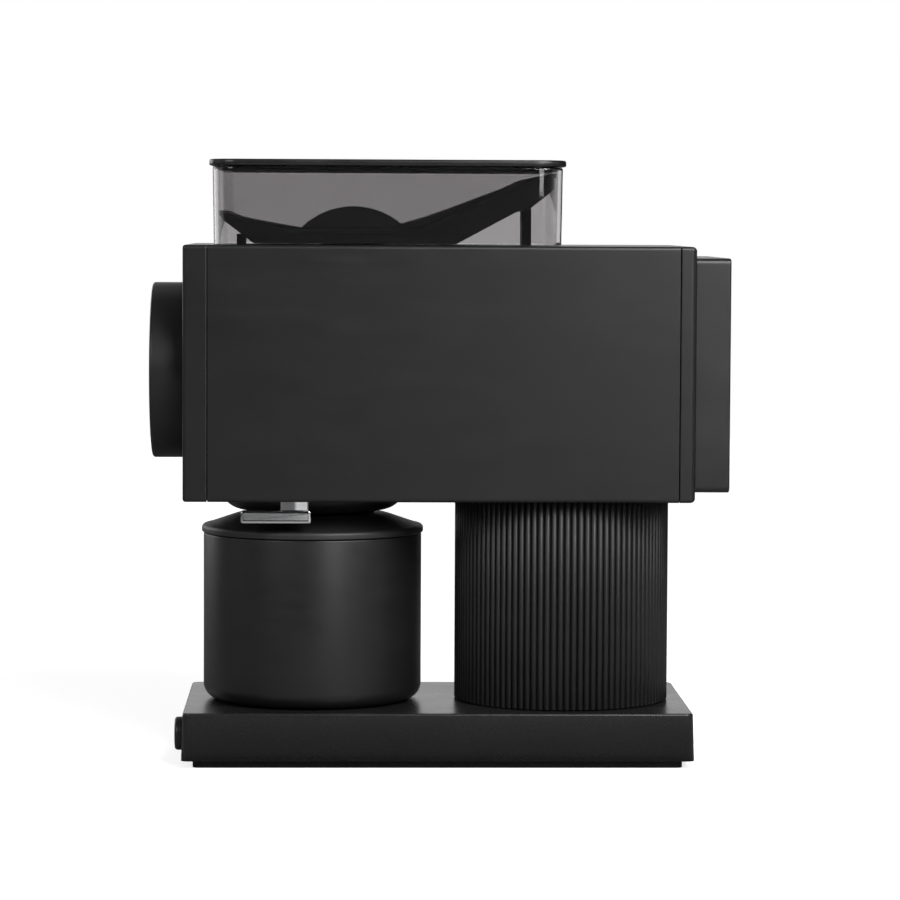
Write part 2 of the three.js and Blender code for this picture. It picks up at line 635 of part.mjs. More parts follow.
function makeColumn(root) {
  const column = frameAt(root, COLUMN_X, 0, BASE_TOP);
  const top = COLUMN_HEIGHT - GAP;
  const bore = rodZ(COLUMN_RADIUS - COLUMN_WALL, -CUT, COLUMN_HEIGHT + CUT, 0, 0, FINE);
  const sleeve = cut(solid(prismZ(polygon(flutedOutline()), GAP, top)), solid(bore));
  piece(column, 'column_sleeve', sleeve, blackCoat);

  const lowerFlange = GAP + CORE_FLANGE_THICKNESS;
  const upperFlange = top - CORE_FLANGE_THICKNESS;
  const core = solid(turnZ(closed([
    [CORE_BORE, GAP], [CORE_FLANGE_RADIUS, GAP], [CORE_FLANGE_RADIUS, lowerFlange],
    [CORE_RADIUS, lowerFlange], [CORE_RADIUS, upperFlange],
    [CORE_FLANGE_RADIUS, upperFlange], [CORE_FLANGE_RADIUS, top], [CORE_BORE, top],
  ])));
  const holes = [
    ...LOWER_SCREWS.map(([x, y]) => solid(rodZ(SCREW_HOLE, -CUT, lowerFlange + CUT, x, y, SMALL))),
    ...UPPER_SCREWS.map(([x, y]) => solid(rodZ(SCREW_HOLE, upperFlange - CUT, top + CUT, x, y, SMALL))),
  ];
  piece(column, 'column_core', cut(core, ...holes), aluminium);

  LOWER_SCREWS.forEach(([x, y], i) => {
    const place = frameAt(column, x, y, -BASE_WALL - GAP);
    piece(place, `column_screw_lower_${i + 1}`, screw(-1), steel);
  });
  UPPER_SCREWS.forEach(([x, y], i) => {
    const place = frameAt(column, x, y, COLUMN_HEIGHT + BODY_WALL + GAP);
    piece(place, `column_screw_upper_${i + 1}`, screw(1), steel);
  });

  const route = new THREE.CatmullRomCurve3([
    new THREE.Vector3(-16, 9, -9),
    new THREE.Vector3(-3, 2, -8),
    new THREE.Vector3(0, 0, 0),
    new THREE.Vector3(0, 0, COLUMN_HEIGHT / 2),
    new THREE.Vector3(0, 0, COLUMN_HEIGHT + BODY_WALL),
    new THREE.Vector3(3, -4, COLUMN_HEIGHT + BODY_WALL + 5),
  ]);
  const section = new THREE.Shape();
  section.absarc(0, 0, HARNESS_RADIUS, 0, Math.PI * 2, false);
  const harness = new THREE.ExtrudeGeometry(section, { steps: 10, curveSegments: 4, extrudePath: route });
  piece(column, 'wiring_harness', solid(harness), blackRubber);
}

// ---- body casing --------------------------------------------------------------------------------

function bodyOutline(inset, radius) {
  return roundedRectangle(BODY_HALF_Y - inset, BODY_HEIGHT / 2 - inset, radius, 0, BODY_HEIGHT / 2);
}

function makeBody(root) {
  const body = frameAt(root, 0, 0, BODY_BOTTOM);
  const floorHole = (radius, x, y = 0, steps = ROUND) => solid(rodZ(radius, -CUT, BODY_WALL + CUT, x, y, steps));
  const seam = GAP / 2;
  const sleeve = bodyOutline(0, BODY_CORNER);
  sleeve.holes.push(bodyOutline(BODY_WALL, BODY_CORNER / 2));
  const stemRear = KNOCKER_REAR - 0.9;
  const stemY = -(BODY_HALF_Y - KNOCKER_SIDE_INSET);
  const housing = cut(
    solid(prismX(sleeve, HOUSING_FRONT + seam, HOUSING_REAR - seam)),
    solid(rodZ(
      THROAT_RADIUS + THROAT_WALL + GAP, BODY_HEIGHT - BODY_WALL - CUT, BODY_HEIGHT + CUT, THROAT_X,
    )),
    floorHole(CHUTE_RADIUS + CHUTE_WALL + GAP, CHUTE_X),
    floorHole(CORE_BORE, COLUMN_X),
    ...UPPER_SCREWS.map(([x, y]) => floorHole(SCREW_HOLE, COLUMN_X + x, y, SMALL)),
    solid(box(
      stemRear - KNOCKER_STEM_LENGTH - CUT, stemRear + CUT,
      stemY + CUT / 2, stemY + KNOCKER_THICKNESS + KNOCKER_SWING, -CUT, BODY_WALL + CUT,
    )),
  );
  piece(body, 'main_housing', housing, blackCoat);

  makeFrontPlate(body);
  makeRearPlate(body);
  makeMotorCover(body);
}

// A body-sized plate with its edge rounded on one end only.
function endPlate(x0, x1, roundedEnd) {
  const spare = 2 * BODY_EDGE;
  const from = roundedEnd < 0 ? x0 : x0 - spare;
  const to = roundedEnd < 0 ? x1 + spare : x1;
  const trim = solid(box(x0, x1, -BODY_WIDTH, BODY_WIDTH, -BODY_HEIGHT, 2 * BODY_HEIGHT));
  return solid(prismX(bodyOutline(0, BODY_CORNER), from, to, BODY_EDGE)).intersect(trim);
}

function makeFrontPlate(body) {
  const back = HOUSING_FRONT - GAP / 2;
  const recess = cut(
    solid(prismX(bodyOutline(FRONT_PLATE_FACE, BODY_CORNER), FRONT_X + FRONT_PLATE_FACE, back + CUT)),
    solid(rodX(FRONT_BOSS_RADIUS, FRONT_X, back + 2 * CUT, 0, AXIS_HEIGHT, FINE)),
  );
  const bore = rodX(DIAL_HUB_RADIUS + GAP, FRONT_X - CUT, back + CUT, 0, AXIS_HEIGHT, FINE);
  piece(body, 'front_plate', cut(endPlate(FRONT_X, back, -1), recess, solid(bore)), blackCoat);
}

function makeRearPlate(body) {
  const front = HOUSING_REAR + GAP / 2;
  const opening = rodX(FAN_OPENING, front - CUT, REAR_X + CUT, 0, AXIS_HEIGHT, FINE);
  piece(body, 'rear_plate', cut(endPlate(front, REAR_X, 1), solid(opening)), blackCoat);
}

function makeMotorCover(body) {
  const halfY = BODY_HALF_Y - COVER_SIDE_INSET;
  const height = BODY_HEIGHT - COVER_BOTTOM_INSET - COVER_TOP_INSET;
  const centreZ = COVER_BOTTOM_INSET + height / 2;
  const front = REAR_X + GAP;
  const rear = REAR_X + COVER_DEPTH;
  const outline = (inset) => roundedRectangle(halfY - inset, height / 2 - inset, COVER_CORNER - inset, 0, centreZ);
  const block = solid(prismX(outline(0), front - 2 * COVER_EDGE, rear, COVER_EDGE));
  const trim = solid(box(front, rear + CUT, -BODY_WIDTH, BODY_WIDTH, -BODY_HEIGHT, 2 * BODY_HEIGHT));
  const hollow = solid(prismX(outline(COVER_WALL), front - CUT, rear - COVER_WALL));
  const vents = [];
  for (let i = 0; i < VENT_COUNT; i += 1) {
    const z = centreZ + (i - (VENT_COUNT - 1) / 2) * VENT_PITCH;
    vents.push(solid(box(
      rear - COVER_WALL - CUT, rear + CUT, -VENT_HALF_WIDTH, VENT_HALF_WIDTH, z - VENT_HEIGHT / 2, z + VENT_HEIGHT / 2,
    )));
  }
  piece(body, 'motor_cover', cut(block.intersect(trim), hollow, ...vents), blackPlastic);
}

// ---- dial and burr adjustment -------------------------------------------------------------------

function makeDial(axis) {
  const back = FRONT_X - DIAL_STANDOFF;
  const front = FRONT_X - DIAL_DEPTH;
  const web = front + DIAL_FACE;
  const skirt = DIAL_RADIUS - DIAL_SKIRT_WALL;
  const dish = front + DIAL_DISH_DEPTH;
  const screwHole = DIAL_SCREW_RADIUS + GAP;
  const knob = solid(turnX(closed([
    [dish, screwHole], [dish, DIAL_DISH_RADIUS], [front, DIAL_DISH_RADIUS],
    ...arcPoints(front + DIAL_EDGE, DIAL_RADIUS - DIAL_EDGE, DIAL_EDGE, 180, 90, 2),
    [back, DIAL_RADIUS], [back, skirt], [web, skirt], [web, DIAL_HUB_RADIUS],
    [HUB_END, DIAL_HUB_RADIUS], [HUB_END, screwHole],
  ]), FINE));
  const detentZ = (INDEX_RING_INNER + skirt) / 2;
  const pocket = rodX(DETENT_RADIUS + GAP, web - DETENT_POCKET, web + CUT, 0, detentZ, SMALL);
  const pointerTop = DIAL_RADIUS - 2 * DIAL_EDGE;
  const pointer = box(front - CUT, front + DIAL_EDGE / 2, -0.8, 0.8, pointerTop - DIAL_POINTER_LENGTH, pointerTop);
  piece(axis, 'dial', cut(knob, solid(pocket), solid(pointer)), blackCoat);

  const headBack = dish - GAP;
  const headFront = front + GAP;
  const screwEnd = THREAD_X + THREAD_LENGTH / 2;
  const dialScrew = turnX([
    [headFront + 1.8, 0], [headFront + 1.8, 2.2], [headFront, 2.2], [headFront, DIAL_SCREW_HEAD_RADIUS],
    [headBack, DIAL_SCREW_HEAD_RADIUS], [headBack, DIAL_SCREW_RADIUS],
    [screwEnd, DIAL_SCREW_RADIUS], [screwEnd, 0],
  ], SMALL);
  piece(axis, 'dial_screw', solid(dialScrew), steel);

  makeIndexRing(axis, skirt - 2 * GAP);
  const springFront = web - DETENT_POCKET + GAP;
  const spring = tubeX(DETENT_RADIUS - SPRING_WIRE / 2, DETENT_RADIUS, springFront,
    springFront + DETENT_SPRING_LENGTH - GAP, 12).translate(0, 0, detentZ);
  piece(axis, 'detent_spring', solid(spring), steel);
  const plungerFront = springFront + DETENT_SPRING_LENGTH;
  const plungerEnd = FRONT_X - GAP - INDEX_RING_THICKNESS - GAP;
  const plunger = turnX([
    [plungerFront, 0], [plungerFront, DETENT_RADIUS], [plungerEnd - DETENT_RADIUS / 2, DETENT_RADIUS],
    [plungerEnd, DETENT_RADIUS / 2], [plungerEnd, 0],
  ], SMALL).translate(0, 0, detentZ);
  piece(axis, 'detent_plunger', solid(plunger), steel);
}

function makeIndexRing(axis, outer) {
  const back = FRONT_X - GAP;
  const points = [];
  for (let i = 0; i < INDEX_NOTCH_COUNT; i += 1) {
    for (const [share, depth] of [[0, 1], [0.15, 0], [0.85, 0]]) {
      const angle = ((i + share) * 2 * Math.PI) / INDEX_NOTCH_COUNT;
      points.push([(outer - depth) * Math.cos(angle), (outer - depth) * Math.sin(angle)]);
    }
  }
  const ring = cut(
    solid(prismX(polygon(points), back - INDEX_RING_THICKNESS, back)),
    solid(rodX(INDEX_RING_INNER, back - INDEX_RING_THICKNESS - CUT, back + CUT, 0, 0, ROUND)),
  );
  piece(axis, 'index_ring', ring, steel);
}

function makeAdjuster(axis) {
  const bore = DIAL_SCREW_RADIUS + GAP;
  const start = HUB_END + GAP;
  const end = THREAD_X + THREAD_LENGTH;
  const pitch = THREAD_LENGTH / THREAD_TURNS;
  const crests = [];
  for (let i = 0; i < THREAD_TURNS; i += 1) {
    const x = THREAD_X + i * pitch;
    crests.push([x + pitch * 0.2, THREAD_RADIUS - THREAD_DEPTH], [x + pitch * 0.6, THREAD_RADIUS]);
  }
  const profile = closed([
    [start, bore], [start, DIAL_HUB_RADIUS], [ADJUSTER_FLANGE_X, DIAL_HUB_RADIUS],
    [ADJUSTER_FLANGE_X, ADJUSTER_FLANGE_RADIUS], [THREAD_X, ADJUSTER_FLANGE_RADIUS],
    ...crests, [end, THREAD_RADIUS - THREAD_DEPTH], [end, bore],
  ]);
  piece(axis, 'adjuster_screw', solid(turnX(profile)), steel);
}

// ---- burrs, carriers and chamber ----------------------------------------------------------------

function carrierKeys(clearance, x0, x1) {
  const inner = CHAMBER_RADIUS - CARRIER_KEY_HEIGHT;
  const outer = CHAMBER_RADIUS + CARRIER_KEY_HEIGHT + clearance;
  const half = CARRIER_KEY_HALF_WIDTH + clearance;
  return ringOfTools(
    CARRIER_KEY_COUNT,
    () => box(x0, x1, -half, half, inner, outer),
    (geometry, angle) => geometry.rotateX(angle + Math.PI / 6),
  );
}

function burr(x0, x1, face, direction) {
  const grooves = ringOfTools(
    BURR_GROOVE_COUNT,
    () => box(
      face - BURR_GROOVE_DEPTH, face + BURR_GROOVE_DEPTH,
      BURR_HOLE / 3, BURR_HOLE / 3 + BURR_GROOVE_WIDTH, BURR_HOLE * 0.6, BURR_RADIUS - 2,
    ),
    (geometry, angle) => geometry.rotateX(angle * direction),
  );
  return cut(solid(tubeX(BURR_HOLE, BURR_RADIUS, x0, x1)), ...grooves);
}

function makeBurrs(axis) {
  const carrierRadius = CHAMBER_RADIUS - GAP;
  const nutBore = THREAD_RADIUS + GAP;
  const boss = nutBore + CARRIER_BOSS_WALL;
  const bossFront = FRONT_CARRIER_BACK - CARRIER_BOSS_LENGTH;
  const web = FRONT_CARRIER_FACE - 3;
  const disc = solid(turnX([
    [web, 0], [web, nutBore], [bossFront, nutBore], [bossFront, boss], [FRONT_CARRIER_BACK, boss],
    [FRONT_CARRIER_BACK, carrierRadius], [FRONT_CARRIER_FACE, carrierRadius], [FRONT_CARRIER_FACE, 0],
  ]));
  const keys = carrierKeys(0, FRONT_CARRIER_BACK, FRONT_CARRIER_FACE);
  piece(axis, 'front_burr_carrier', join(disc, ...keys), aluminium);
  piece(axis, 'front_burr',
    burr(FRONT_BURR_FACE - BURR_THICKNESS, FRONT_BURR_FACE, FRONT_BURR_FACE, 1), steel);
  piece(axis, 'rear_burr', burr(REAR_BURR_FACE, REAR_BURR_BACK, REAR_BURR_FACE, -1), steel);

  const spokes = ringOfTools(
    CARRIER_KEY_COUNT,
    () => box(
      REAR_CARRIER_X, REAR_CARRIER_BACK, -CARRIER_SPOKE_WIDTH / 2, CARRIER_SPOKE_WIDTH / 2,
      CARRIER_HUB_RADIUS - 2, BURR_RADIUS - CARRIER_RIM_WIDTH / 2,
    ),
    (geometry, angle) => geometry.rotateX(angle),
  );
  const hub = tubeX(SHAFT_RADIUS + GAP, CARRIER_HUB_RADIUS, REAR_CARRIER_X, REAR_CARRIER_BACK);
  const rim = tubeX(BURR_RADIUS - CARRIER_RIM_WIDTH, BURR_RADIUS, REAR_CARRIER_X, REAR_CARRIER_BACK);
  piece(axis, 'rear_burr_carrier', join(solid(rim), solid(hub), ...spokes), aluminium);

  const nut = cut(
    solid(rodX(NUT_RADIUS, SHAFT_FRONT + GAP, REAR_CARRIER_X - GAP, 0, 0, 6)),
    solid(rodX(SHAFT_RADIUS + GAP, SHAFT_FRONT - CUT, REAR_CARRIER_X + CUT)),
  );
  piece(axis, 'carrier_nut', nut, steel);
  piece(axis, 'drive_shaft', solid(rodX(SHAFT_RADIUS, SHAFT_FRONT, SHAFT_REAR, 0, 0, SMALL)), steel);
  makeAuger(axis);

  const bearing = tubeX(SHAFT_RADIUS + GAP, BEARING_RADIUS, SEAT_FRONT + GAP, SEAT_REAR);
  piece(axis, 'front_bearing', solid(bearing), steel);
}

function makeAuger(axis) {
  const front = REAR_CARRIER_BACK + GAP;
  const rear = CHAMBER_FLOOR - 2 * GAP;
  const pathRadius = AUGER_RADIUS - AUGER_FLIGHT_RADIUS;
  const margin = AUGER_FLIGHT_RADIUS + GAP;
  const points = [];
  const steps = 10 * AUGER_TURNS;
  for (let i = 0; i <= steps; i += 1) {
    const angle = (i * 2 * Math.PI * AUGER_TURNS) / steps;
    const x = front + margin + ((rear - front - 2 * margin) * i) / steps;
    points.push(new THREE.Vector3(x, pathRadius * Math.cos(angle), pathRadius * Math.sin(angle)));
  }
  const path = new THREE.CatmullRomCurve3(points);
  const section = new THREE.Shape();
  section.absarc(0, 0, AUGER_FLIGHT_RADIUS, 0, Math.PI * 2, false);
  const flight = new THREE.ExtrudeGeometry(section, { steps, curveSegments: 2, extrudePath: path });
  const hub = tubeX(SHAFT_RADIUS + GAP, AUGER_HUB_RADIUS + 1, front, rear);
  piece(axis, 'auger', join(solid(hub), solid(flight)), steel);
}

function makeChamber(axis) {
  const front = HOUSING_FRONT + GAP;
  const seatRadius = BEARING_RADIUS + GAP;
  const shell = solid(turnX(closed([
    [front, CHAMBER_RADIUS], [CHAMBER_FLOOR, CHAMBER_RADIUS], [CHAMBER_FLOOR, SHAFT_RADIUS + BEARING_SHOULDER],
    [SEAT_FRONT, SHAFT_RADIUS + BEARING_SHOULDER], [SEAT_FRONT, seatRadius], [SEAT_REAR, seatRadius],
    [SEAT_REAR, seatRadius + BEARING_SEAT_WALL], [CHAMBER_REAR, seatRadius + BEARING_SEAT_WALL],
    [CHAMBER_REAR, CHAMBER_OUTER], [front, CHAMBER_OUTER],
  ])));
  const portTop = BODY_HEIGHT - AXIS_HEIGHT - THROAT_SPOUT_LENGTH - GAP;
  const portBottom = -CHAMBER_OUTER - GAP;
  const inside = solid(rodX(CHAMBER_RADIUS, front - CUT, CHAMBER_FLOOR, 0, 0, ROUND));
  const ports = join(
    solid(rodZ(THROAT_RADIUS + THROAT_WALL, 0, portTop, THROAT_X)),
    solid(rodZ(CHUTE_RADIUS + CHUTE_WALL, portBottom, 0, CHUTE_X)),
  );
  const holes = [
    solid(rodZ(THROAT_RADIUS, 0, portTop + CUT, THROAT_X)),
    solid(rodZ(CHUTE_RADIUS, portBottom - CUT, 0, CHUTE_X)),
    ...carrierKeys(GAP, front - CUT, FRONT_CARRIER_FACE + 2),
  ];
  const wholePorts = cut(ports, inside, solid(rodX(CHAMBER_RADIUS, CHAMBER_FLOOR - CUT, SEAT_REAR + CUT)));
  piece(axis, 'burr_chamber', cut(join(shell, wholePorts), ...holes), aluminium);
}

// ---- motor --------------------------------------------------------------------------------------

function makeMotor(axis) {
  const plate = roundedRectangle(
    INNER_HALF_Y - GAP, BODY_HEIGHT / 2 - BODY_WALL - GAP, BODY_CORNER / 2, 0, BODY_HEIGHT / 2 - AXIS_HEIGHT,
  );
  const plateRear = MOUNT_PLATE_X + MOUNT_PLATE_THICKNESS;
  const plateHole = rodX(SHAFT_RADIUS + 3, MOUNT_PLATE_X - CUT, plateRear + CUT);
  const mount = cut(solid(prismX(plate, MOUNT_PLATE_X, plateRear)), solid(plateHole));
  piece(axis, 'motor_mount_plate', mount, aluminium);

  const canInner = MOTOR_RADIUS - MOTOR_CAN_WALL;
  piece(axis, 'motor_can', solid(tubeX(canInner, MOTOR_RADIUS, MOTOR_FRONT, MOTOR_REAR)), steel);
  makeStator(axis, canInner - GAP);

  const rotorFront = MOTOR_FRONT + STATOR_INSET;
  const rotorRear = MOTOR_REAR - STATOR_INSET;
  piece(axis, 'motor_rotor', solid(tubeX(SHAFT_RADIUS + GAP, ROTOR_RADIUS, rotorFront, rotorRear)), steel);

  const bellFront = MOTOR_REAR + GAP;
  const seatRadius = BEARING_RADIUS + GAP;
  const bell = turnX(closed([
    [bellFront, SHAFT_RADIUS + BEARING_SHOULDER], [bellFront, MOTOR_RADIUS], [BELL_REAR, MOTOR_RADIUS],
    [BELL_REAR, seatRadius + BEARING_SEAT_WALL], [REAR_SEAT_END, seatRadius + BEARING_SEAT_WALL],
    [REAR_SEAT_END, seatRadius], [REAR_SEAT, seatRadius], [REAR_SEAT, SHAFT_RADIUS + BEARING_SHOULDER],
  ]));
  piece(axis, 'motor_rear_bell', solid(bell), aluminium);
  const bearing = tubeX(SHAFT_RADIUS + GAP, BEARING_RADIUS, REAR_SEAT + GAP, REAR_SEAT_END);
  piece(axis, 'rear_bearing', solid(bearing), steel);
  makeFan(axis);
}

function makeStator(axis, outer) {
  const front = MOTOR_FRONT + STATOR_INSET;
  const rear = MOTOR_REAR - STATOR_INSET;
  const slots = ringOfTools(
    STATOR_SLOTS,
    () => box(front - CUT, rear + CUT, -SLOT_HALF_WIDTH, SLOT_HALF_WIDTH, STATOR_BORE - 2, STATOR_SLOT_OUTER),
    (geometry, angle) => geometry.rotateX(angle),
  );
  const core = cut(solid(tubeX(STATOR_BORE, outer, front, rear)), ...slots);
  piece(axis, 'stator_core', core, steel);
  const endRing = (x0) => solid(tubeX(STATOR_BORE + 2, STATOR_SLOT_OUTER, x0, x0 + WINDING_THICKNESS));
  const slotWires = ringOfTools(
    STATOR_SLOTS,
    () => box(front - 1, rear + 1, -SLOT_HALF_WIDTH + GAP, SLOT_HALF_WIDTH - GAP,
      STATOR_BORE + 2.5, STATOR_SLOT_OUTER - 0.5),
    (geometry, angle) => geometry.rotateX(angle),
  );
  const winding = join(endRing(front - GAP - WINDING_THICKNESS), endRing(rear + GAP), ...slotWires);
  piece(axis, 'stator_winding', winding, copper);
}

function makeFan(axis) {
  const blades = ringOfTools(
    FAN_BLADES,
    () => new THREE.BoxGeometry(FAN_WIDTH, FAN_BLADE_THICKNESS, FAN_RADIUS - FAN_HUB_RADIUS + 2)
      .rotateZ(FAN_BLADE_PITCH)
      .translate(FAN_X + FAN_WIDTH / 2, 0, (FAN_RADIUS + FAN_HUB_RADIUS) / 2 - 1),
    (geometry, angle) => geometry.rotateX(angle),
  );
  const hub = tubeX(SHAFT_RADIUS + GAP, FAN_HUB_RADIUS, FAN_X, FAN_X + FAN_WIDTH);
  piece(axis, 'cooling_fan', join(solid(hub), ...blades), blackPlastic);
}

// ---- chute and knocker --------------------------------------------------------------------------

function makeChute(root) {
  const chute = frameAt(root, CHUTE_X, 0, BODY_BOTTOM);
  const top = AXIS_HEIGHT - CHAMBER_OUTER - 2 * GAP;
  const outer = CHUTE_RADIUS + CHUTE_WALL;
  const flangeBottom = BODY_WALL + GAP;
  const flangeTop = flangeBottom + CHUTE_FLANGE_THICKNESS;
  const pinY = -KNOCKER_PIVOT_SIDE;
  const lugSide = KNOCKER_LUG_HALF_WIDTH;
  const [frontLug, rearLug] = knockerLugs().map((x) => x - CHUTE_X);
  const flange = box(
    frontLug - CUT, rearLug + KNOCKER_LUG_LENGTH + CUT, pinY - lugSide, outer + 4, flangeBottom, flangeTop,
  );
  const lug = (x) => solid(box(
    x, x + KNOCKER_LUG_LENGTH, pinY - lugSide, pinY + lugSide, flangeTop - CUT, KNOCKER_PIVOT_HEIGHT + 3,
  ));
  const pinHole = rodX(
    KNOCKER_PIN_RADIUS + GAP, frontLug - CUT, rearLug + KNOCKER_LUG_LENGTH + CUT, pinY, KNOCKER_PIVOT_HEIGHT, 16,
  );
  const tube = rodZ(outer, -CHUTE_DROP, top);
  const bore = rodZ(CHUTE_RADIUS, -CHUTE_DROP - CUT, top + CUT);
  const body = join(solid(tube), solid(flange), lug(frontLug), lug(rearLug));
  piece(chute, 'chute_tube', cut(body, solid(bore), solid(pinHole)), blackPlastic);

  const skirt = frameAt(root, CUP_X, 0, BODY_BOTTOM);
  const mouth = outer + Math.abs(CUP_X - CHUTE_X) + 4;
  const dish = turnZ(closed([
    [SKIRT_RADIUS, -GAP], [SKIRT_RADIUS - 1, -GAP - 1.8], [SKIRT_RADIUS - 4, -SKIRT_DROP + 2.6],
    [SKIRT_RADIUS - 8, -SKIRT_DROP + 1.1], [SKIRT_LIP_RADIUS, -SKIRT_DROP], [mouth, -SKIRT_DROP],
    [mouth, -SKIRT_DROP + 1.6], [SKIRT_LIP_RADIUS, -SKIRT_DROP + 2.4], [SKIRT_RADIUS - SKIRT_WALL - 4, -GAP],
  ]), FINE);
  piece(skirt, 'chute_skirt', solid(dish), blackPlastic);
}

// The X places of the two lugs that hold the knocker's pin, in front of and behind its arm.
function knockerLugs() {
  const armFront = KNOCKER_REAR - 0.9 - KNOCKER_STEM_LENGTH + CUT;
  const side = (KNOCKER_PIN_LENGTH - KNOCKER_ARM_LENGTH) / 2 - CUT;
  return [armFront - side, armFront + KNOCKER_ARM_LENGTH + side - KNOCKER_LUG_LENGTH];
}

function makeKnocker(root) {
  const knocker = frameAt(root, 0, 0, BODY_BOTTOM);
  const outerY = -(BODY_HALF_Y - KNOCKER_SIDE_INSET);
  const tabBottom = -KNOCKER_DROP - GAP / 2;
  const tabTop = tabBottom + KNOCKER_HEIGHT;
  const tabFront = KNOCKER_REAR - KNOCKER_LENGTH;
  const stemRear = KNOCKER_REAR - 0.9;
  const stemFront = stemRear - KNOCKER_STEM_LENGTH;
  const stemY = outerY + 2;
  const armFront = stemFront + CUT;
  const armRear = armFront + KNOCKER_ARM_LENGTH;
  const pinY = -KNOCKER_PIVOT_SIDE;
  const half = KNOCKER_ARM_THICKNESS / 2;
  const hammerY = -(CHUTE_RADIUS + CHUTE_WALL + KNOCKER_HAMMER_GAP);
  const border = KNOCKER_PANEL_BORDER;

  const face = roundedRectangle(
    KNOCKER_LENGTH / 2, KNOCKER_HEIGHT / 2, 1, tabFront + KNOCKER_LENGTH / 2, tabBottom + KNOCKER_HEIGHT / 2,
  );
  const tab = prismY(face, outerY, outerY + KNOCKER_THICKNESS, 0.4);
  const panel = box(
    tabFront + 3, KNOCKER_REAR - border, outerY - CUT, outerY + KNOCKER_PANEL_DEPTH,
    tabBottom + border, tabTop - border,
  );
  const pivotTop = KNOCKER_PIVOT_HEIGHT + half;
  const stem = box(stemFront, stemRear, stemY, stemY + KNOCKER_STEM_THICKNESS, tabTop - CUT, pivotTop);
  const arm = box(armFront, armRear, stemY + CUT, hammerY, KNOCKER_PIVOT_HEIGHT - half, pivotTop);
  const boss = rodX(KNOCKER_BOSS_RADIUS, armFront, armRear, pinY, KNOCKER_PIVOT_HEIGHT, SMALL);
  const hole = rodX(KNOCKER_PIN_RADIUS + GAP, armFront - CUT, armRear + CUT, pinY, KNOCKER_PIVOT_HEIGHT, SMALL);
  const lever = cut(join(solid(tab), solid(stem), solid(arm), solid(boss)), solid(panel), solid(hole));
  piece(knocker, 'knocker', lever, chrome);

  const [frontLug, rearLug] = knockerLugs();
  const pin = rodX(
    KNOCKER_PIN_RADIUS, frontLug, rearLug + KNOCKER_LUG_LENGTH, pinY, KNOCKER_PIVOT_HEIGHT, 16,
  );
  piece(knocker, 'knocker_pin', solid(pin), steel);
  const springInner = KNOCKER_PIN_RADIUS + GAP;
  const spring = tubeX(springInner, springInner + SPRING_WIRE, armRear + GAP, rearLug - GAP, SMALL);
  piece(knocker, 'knocker_spring', solid(spring.translate(0, pinY, KNOCKER_PIVOT_HEIGHT)), steel);
}

// ---- hopper -------------------------------------------------------------------------------------

function hopperOutline(inset) {
  return roundedRectangle(HOPPER_LENGTH / 2 - inset, HOPPER_WIDTH / 2 - inset, HOPPER_CORNER - inset);
}

// The funnel's upper edge seen from the side, from front to rear, as [x, z] in the hopper's frame.
function funnelRim() {
  const front = -HOPPER_LENGTH / 2;
  const flatFront = front + FUNNEL_FRONT_RUN + HOPPER_WALL;
  const flatRear = flatFront + FUNNEL_FLAT_LENGTH;
  return [
    [front, FUNNEL_FLOOR + FUNNEL_FRONT_RISE], [flatFront, FUNNEL_FLOOR], [flatRear, FUNNEL_FLOOR],
    [flatRear + FUNNEL_RAMP_RUN, FUNNEL_FLOOR + FUNNEL_REAR_RISE],
    [HOPPER_LENGTH / 2, FUNNEL_FLOOR + FUNNEL_END_RISE],
  ];
}

function makeHopper(root) {
  const hopper = frameAt(root, HOPPER_X, 0, BODY_TOP);
  const shell = hopperOutline(0);
  shell.holes.push(hopperOutline(HOPPER_WALL));
  piece(hopper, 'hopper_shell', solid(prismZ(shell, GAP, HOPPER_HEIGHT)), smoke);

  const binInset = HOPPER_WALL + GAP;
  const binTop = HOPPER_HEIGHT - BIN_TOP_DROP;
  const ring = hopperOutline(binInset);
  ring.holes.push(hopperOutline(binInset + BIN_WALL));
  const rim = funnelRim();
  const below = polygon([
    ...rim.map(([x, z]) => [x, z + GAP]), [HOPPER_LENGTH / 2 + CUT, -CUT], [-HOPPER_LENGTH / 2 - CUT, -CUT],
  ]);
  const bin = cut(
    solid(prismZ(ring, 0, binTop)), solid(prismY(below, -HOPPER_WIDTH, HOPPER_WIDTH)),
  );
  piece(hopper, 'bean_bin', bin, smoke);
  makeFunnel(hopper, binInset);
  makeGuard(hopper);
  makeLid(hopper);
}

